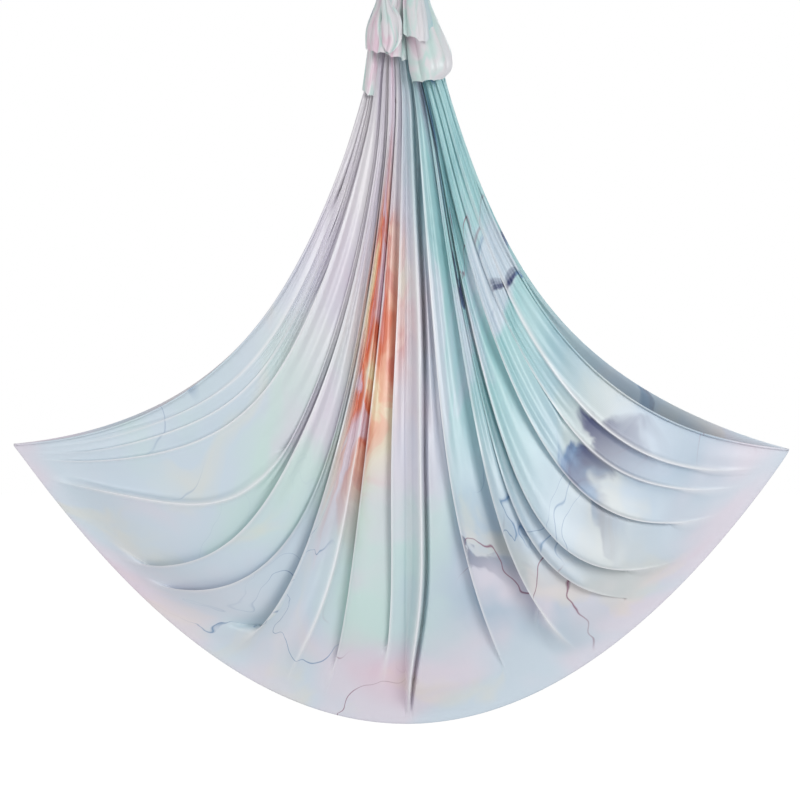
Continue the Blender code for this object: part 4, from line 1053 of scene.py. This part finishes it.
def metal(name, colour, roughness, metallic):
    """Metal with fine brushing and faint wear in its roughness."""
    made, tree, shader = plain_material(name)
    place = node(tree, "ShaderNodeTexCoord").outputs["Object"]
    stretched = node(tree, "ShaderNodeMapping", {"Vector": place, "Scale": BRUSH_STRETCH}).outputs["Vector"]
    grain = noise(tree, stretched, *BRUSH_NOISE, kind="3D")
    shade = tuple(value * SMUDGE_SHADE for value in colour)
    stops = tuple(zip(SMUDGE_LEVELS, (shade, colour)))
    smudges = noise(tree, place, *SMUDGE_NOISE, kind="3D")
    tree.links.new(ramp(tree, smudges, stops), shader.inputs["Base Color"])
    shader.inputs["Metallic"].default_value = metallic
    limits = {"Value": grain, "To Min": roughness - SMOOTHER_BY, "To Max": roughness + ROUGHER_BY}
    tree.links.new(node(tree, "ShaderNodeMapRange", limits).outputs[0], shader.inputs["Roughness"])
    rounded = node(tree, "ShaderNodeBevel", {"Radius": EDGE_RADIUS}, samples=EDGE_SAMPLES).outputs["Normal"]
    brushing = {"Height": grain, "Strength": BRUSH_STRENGTH, "Distance": BRUSH_HEIGHT, "Normal": rounded}
    tree.links.new(node(tree, "ShaderNodeBump", brushing).outputs["Normal"], shader.inputs["Normal"])
    return made


def finish_hardware():
    """The finish of every solid that stays, by its slot."""
    finishes = {slot: metal(*look) for slot, look in FINISHES.items()}
    for part in frame["record"]["subparts"]:
        finish = finishes.get(part["material_slot"])
        if finish:
            obj = frame["nodes"][part["node"]]
            obj.data.materials.clear()
            obj.data.materials.append(finish)


def dress_cloth():
    """All the cloth on the hammock's body: the panel and, above it, the ends that hold it up."""
    cloth = dyed_cloth("marbled_tricot")
    panel = make_panel()
    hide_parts("sling_front", "sling_back")
    ends = []
    for word, side in (("left", -1), ("right", 1)):
        loop = make_loop(word, side)
        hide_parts(f"{word}_cloth_loop")
        wraps = make_wraps(word, side)
        core = make_core(word, side)
        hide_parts(f"{word}_knot")
        ends += [loop, wraps, core]
    for tail, tiers in TAIL_TIERS.items():
        pieces = [flap(*tier) for tier in tiers]
        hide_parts(tail)
        ends += pieces
    for piece in [panel, *ends]:
        piece.data.materials.append(cloth)
        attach(piece, "hammock")


# The camera's view
CAMERA_DISTANCE = 9.0
VIEW_WIDTH = 2.2
VIEW_CENTRE_X = -0.01375
VIEW_CENTRE_Z = -1.6207
SENSOR_WIDTH_MM = 36.0

# Each lamp's name, place, size and power
LAMPS = (
    ("key", (2.8, -4.4, -0.2), (2.2, 2.2), 96.0),
    ("fill", (-3.8, -3.8, -1.2), (3.0, 3.0), 50.0),
    ("rear", (0.5, 4.5, 0.2), (3.0, 2.0), 50.0),
)

# The pale floor and the world: how they light the object, and how they look to the camera
FLOOR_DROP = 0.55
FLOOR_HALF_SIZE = 40.0
FLOOR_COLOUR = (0.86, 0.86, 0.87, 1.0)
FLOOR_ROUGHNESS = 0.9
SEEN_GREY = (0.22, 0.22, 0.22, 1.0)
SEEN_GLOW = 0.92
WORLD_LIGHT = 0.46
WORLD_SEEN = 1.0
PURE_WHITE = (1, 1, 1, 1)


def make_camera():
    """A level camera straight in front, framed as in the photograph."""
    data = bpy.data.cameras.new("camera")
    data.sensor_width = SENSOR_WIDTH_MM
    data.lens = data.sensor_width * CAMERA_DISTANCE / VIEW_WIDTH
    obj = bpy.data.objects.new("camera", data)
    bpy.context.scene.collection.objects.link(obj)
    obj.location = (VIEW_CENTRE_X, -CAMERA_DISTANCE, VIEW_CENTRE_Z)
    obj.rotation_euler = (math.radians(90), 0, 0)
    bpy.context.scene.camera = obj


def make_lamp(name, place, size, power):
    """A soft rectangular lamp that faces the middle of the view."""
    lamp = bpy.data.lights.new(name, "AREA")
    lamp.shape = "RECTANGLE"
    lamp.size, lamp.size_y = size
    lamp.energy = power
    obj = bpy.data.objects.new(name, lamp)
    bpy.context.scene.collection.objects.link(obj)
    obj.location = place
    way = Vector((0, 0, VIEW_CENTRE_Z)) - Vector(place)
    obj.rotation_euler = way.to_track_quat("-Z", "Y").to_euler()


def seen_or_mirrored(tree):
    """1 where the camera sees a surface, straight or in a glossy one, and 0 where it only lights."""
    path = node(tree, "ShaderNodeLightPath")
    rays = (path.outputs["Is Camera Ray"], path.outputs["Is Glossy Ray"])
    return math_node(tree, "ADD", *rays, use_clamp=True)


def make_floor():
    """A pale floor that looks nearly white and lights the object no more than a plain one."""
    bm = bmesh.new()
    bmesh.ops.create_grid(bm, x_segments=1, y_segments=1, size=FLOOR_HALF_SIZE)
    mesh = bpy.data.meshes.new("floor")
    bm.to_mesh(mesh)
    bm.free()
    floor = bpy.data.objects.new("floor", mesh)
    floor.location = (0, 0, BOTTOM_Z - FLOOR_DROP)
    bpy.context.scene.collection.objects.link(floor)
    made, tree, shader = plain_material("pale_floor")
    shader.inputs["Base Color"].default_value = FLOOR_COLOUR
    shader.inputs["Roughness"].default_value = FLOOR_ROUGHNESS
    grey = node(tree, "ShaderNodeBsdfDiffuse", {"Color": SEEN_GREY}).outputs[0]
    glow = node(tree, "ShaderNodeEmission", {"Color": PURE_WHITE, "Strength": SEEN_GLOW}).outputs[0]
    both = node(tree, "ShaderNodeAddShader", {0: grey, 1: glow}).outputs[0]
    seen = {0: seen_or_mirrored(tree), 1: shader.outputs[0], 2: both}
    chosen = node(tree, "ShaderNodeMixShader", seen).outputs[0]
    tree.links.new(chosen, tree.nodes["Material Output"].inputs["Surface"])
    mesh.materials.append(made)


def make_world():
    """An even white studio, dimmer as light than as it is seen."""
    world = bpy.data.worlds.new("studio")
    bpy.context.scene.world = world
    world.use_nodes = True
    tree = world.node_tree
    back = tree.nodes["Background"]
    limits = {"Value": seen_or_mirrored(tree), "To Min": WORLD_LIGHT, "To Max": WORLD_SEEN}
    back.inputs["Color"].default_value = PURE_WHITE
    tree.links.new(node(tree, "ShaderNodeMapRange", limits).outputs[0], back.inputs["Strength"])


def main():
    """The dressed hammock on its stage."""
    dress_cloth()
    finish_hardware()
    make_floor()
    make_world()
    for lamp in LAMPS:
        make_lamp(*lamp)
    make_camera()
    bpy.context.scene.view_settings.view_transform = "Standard"


main()
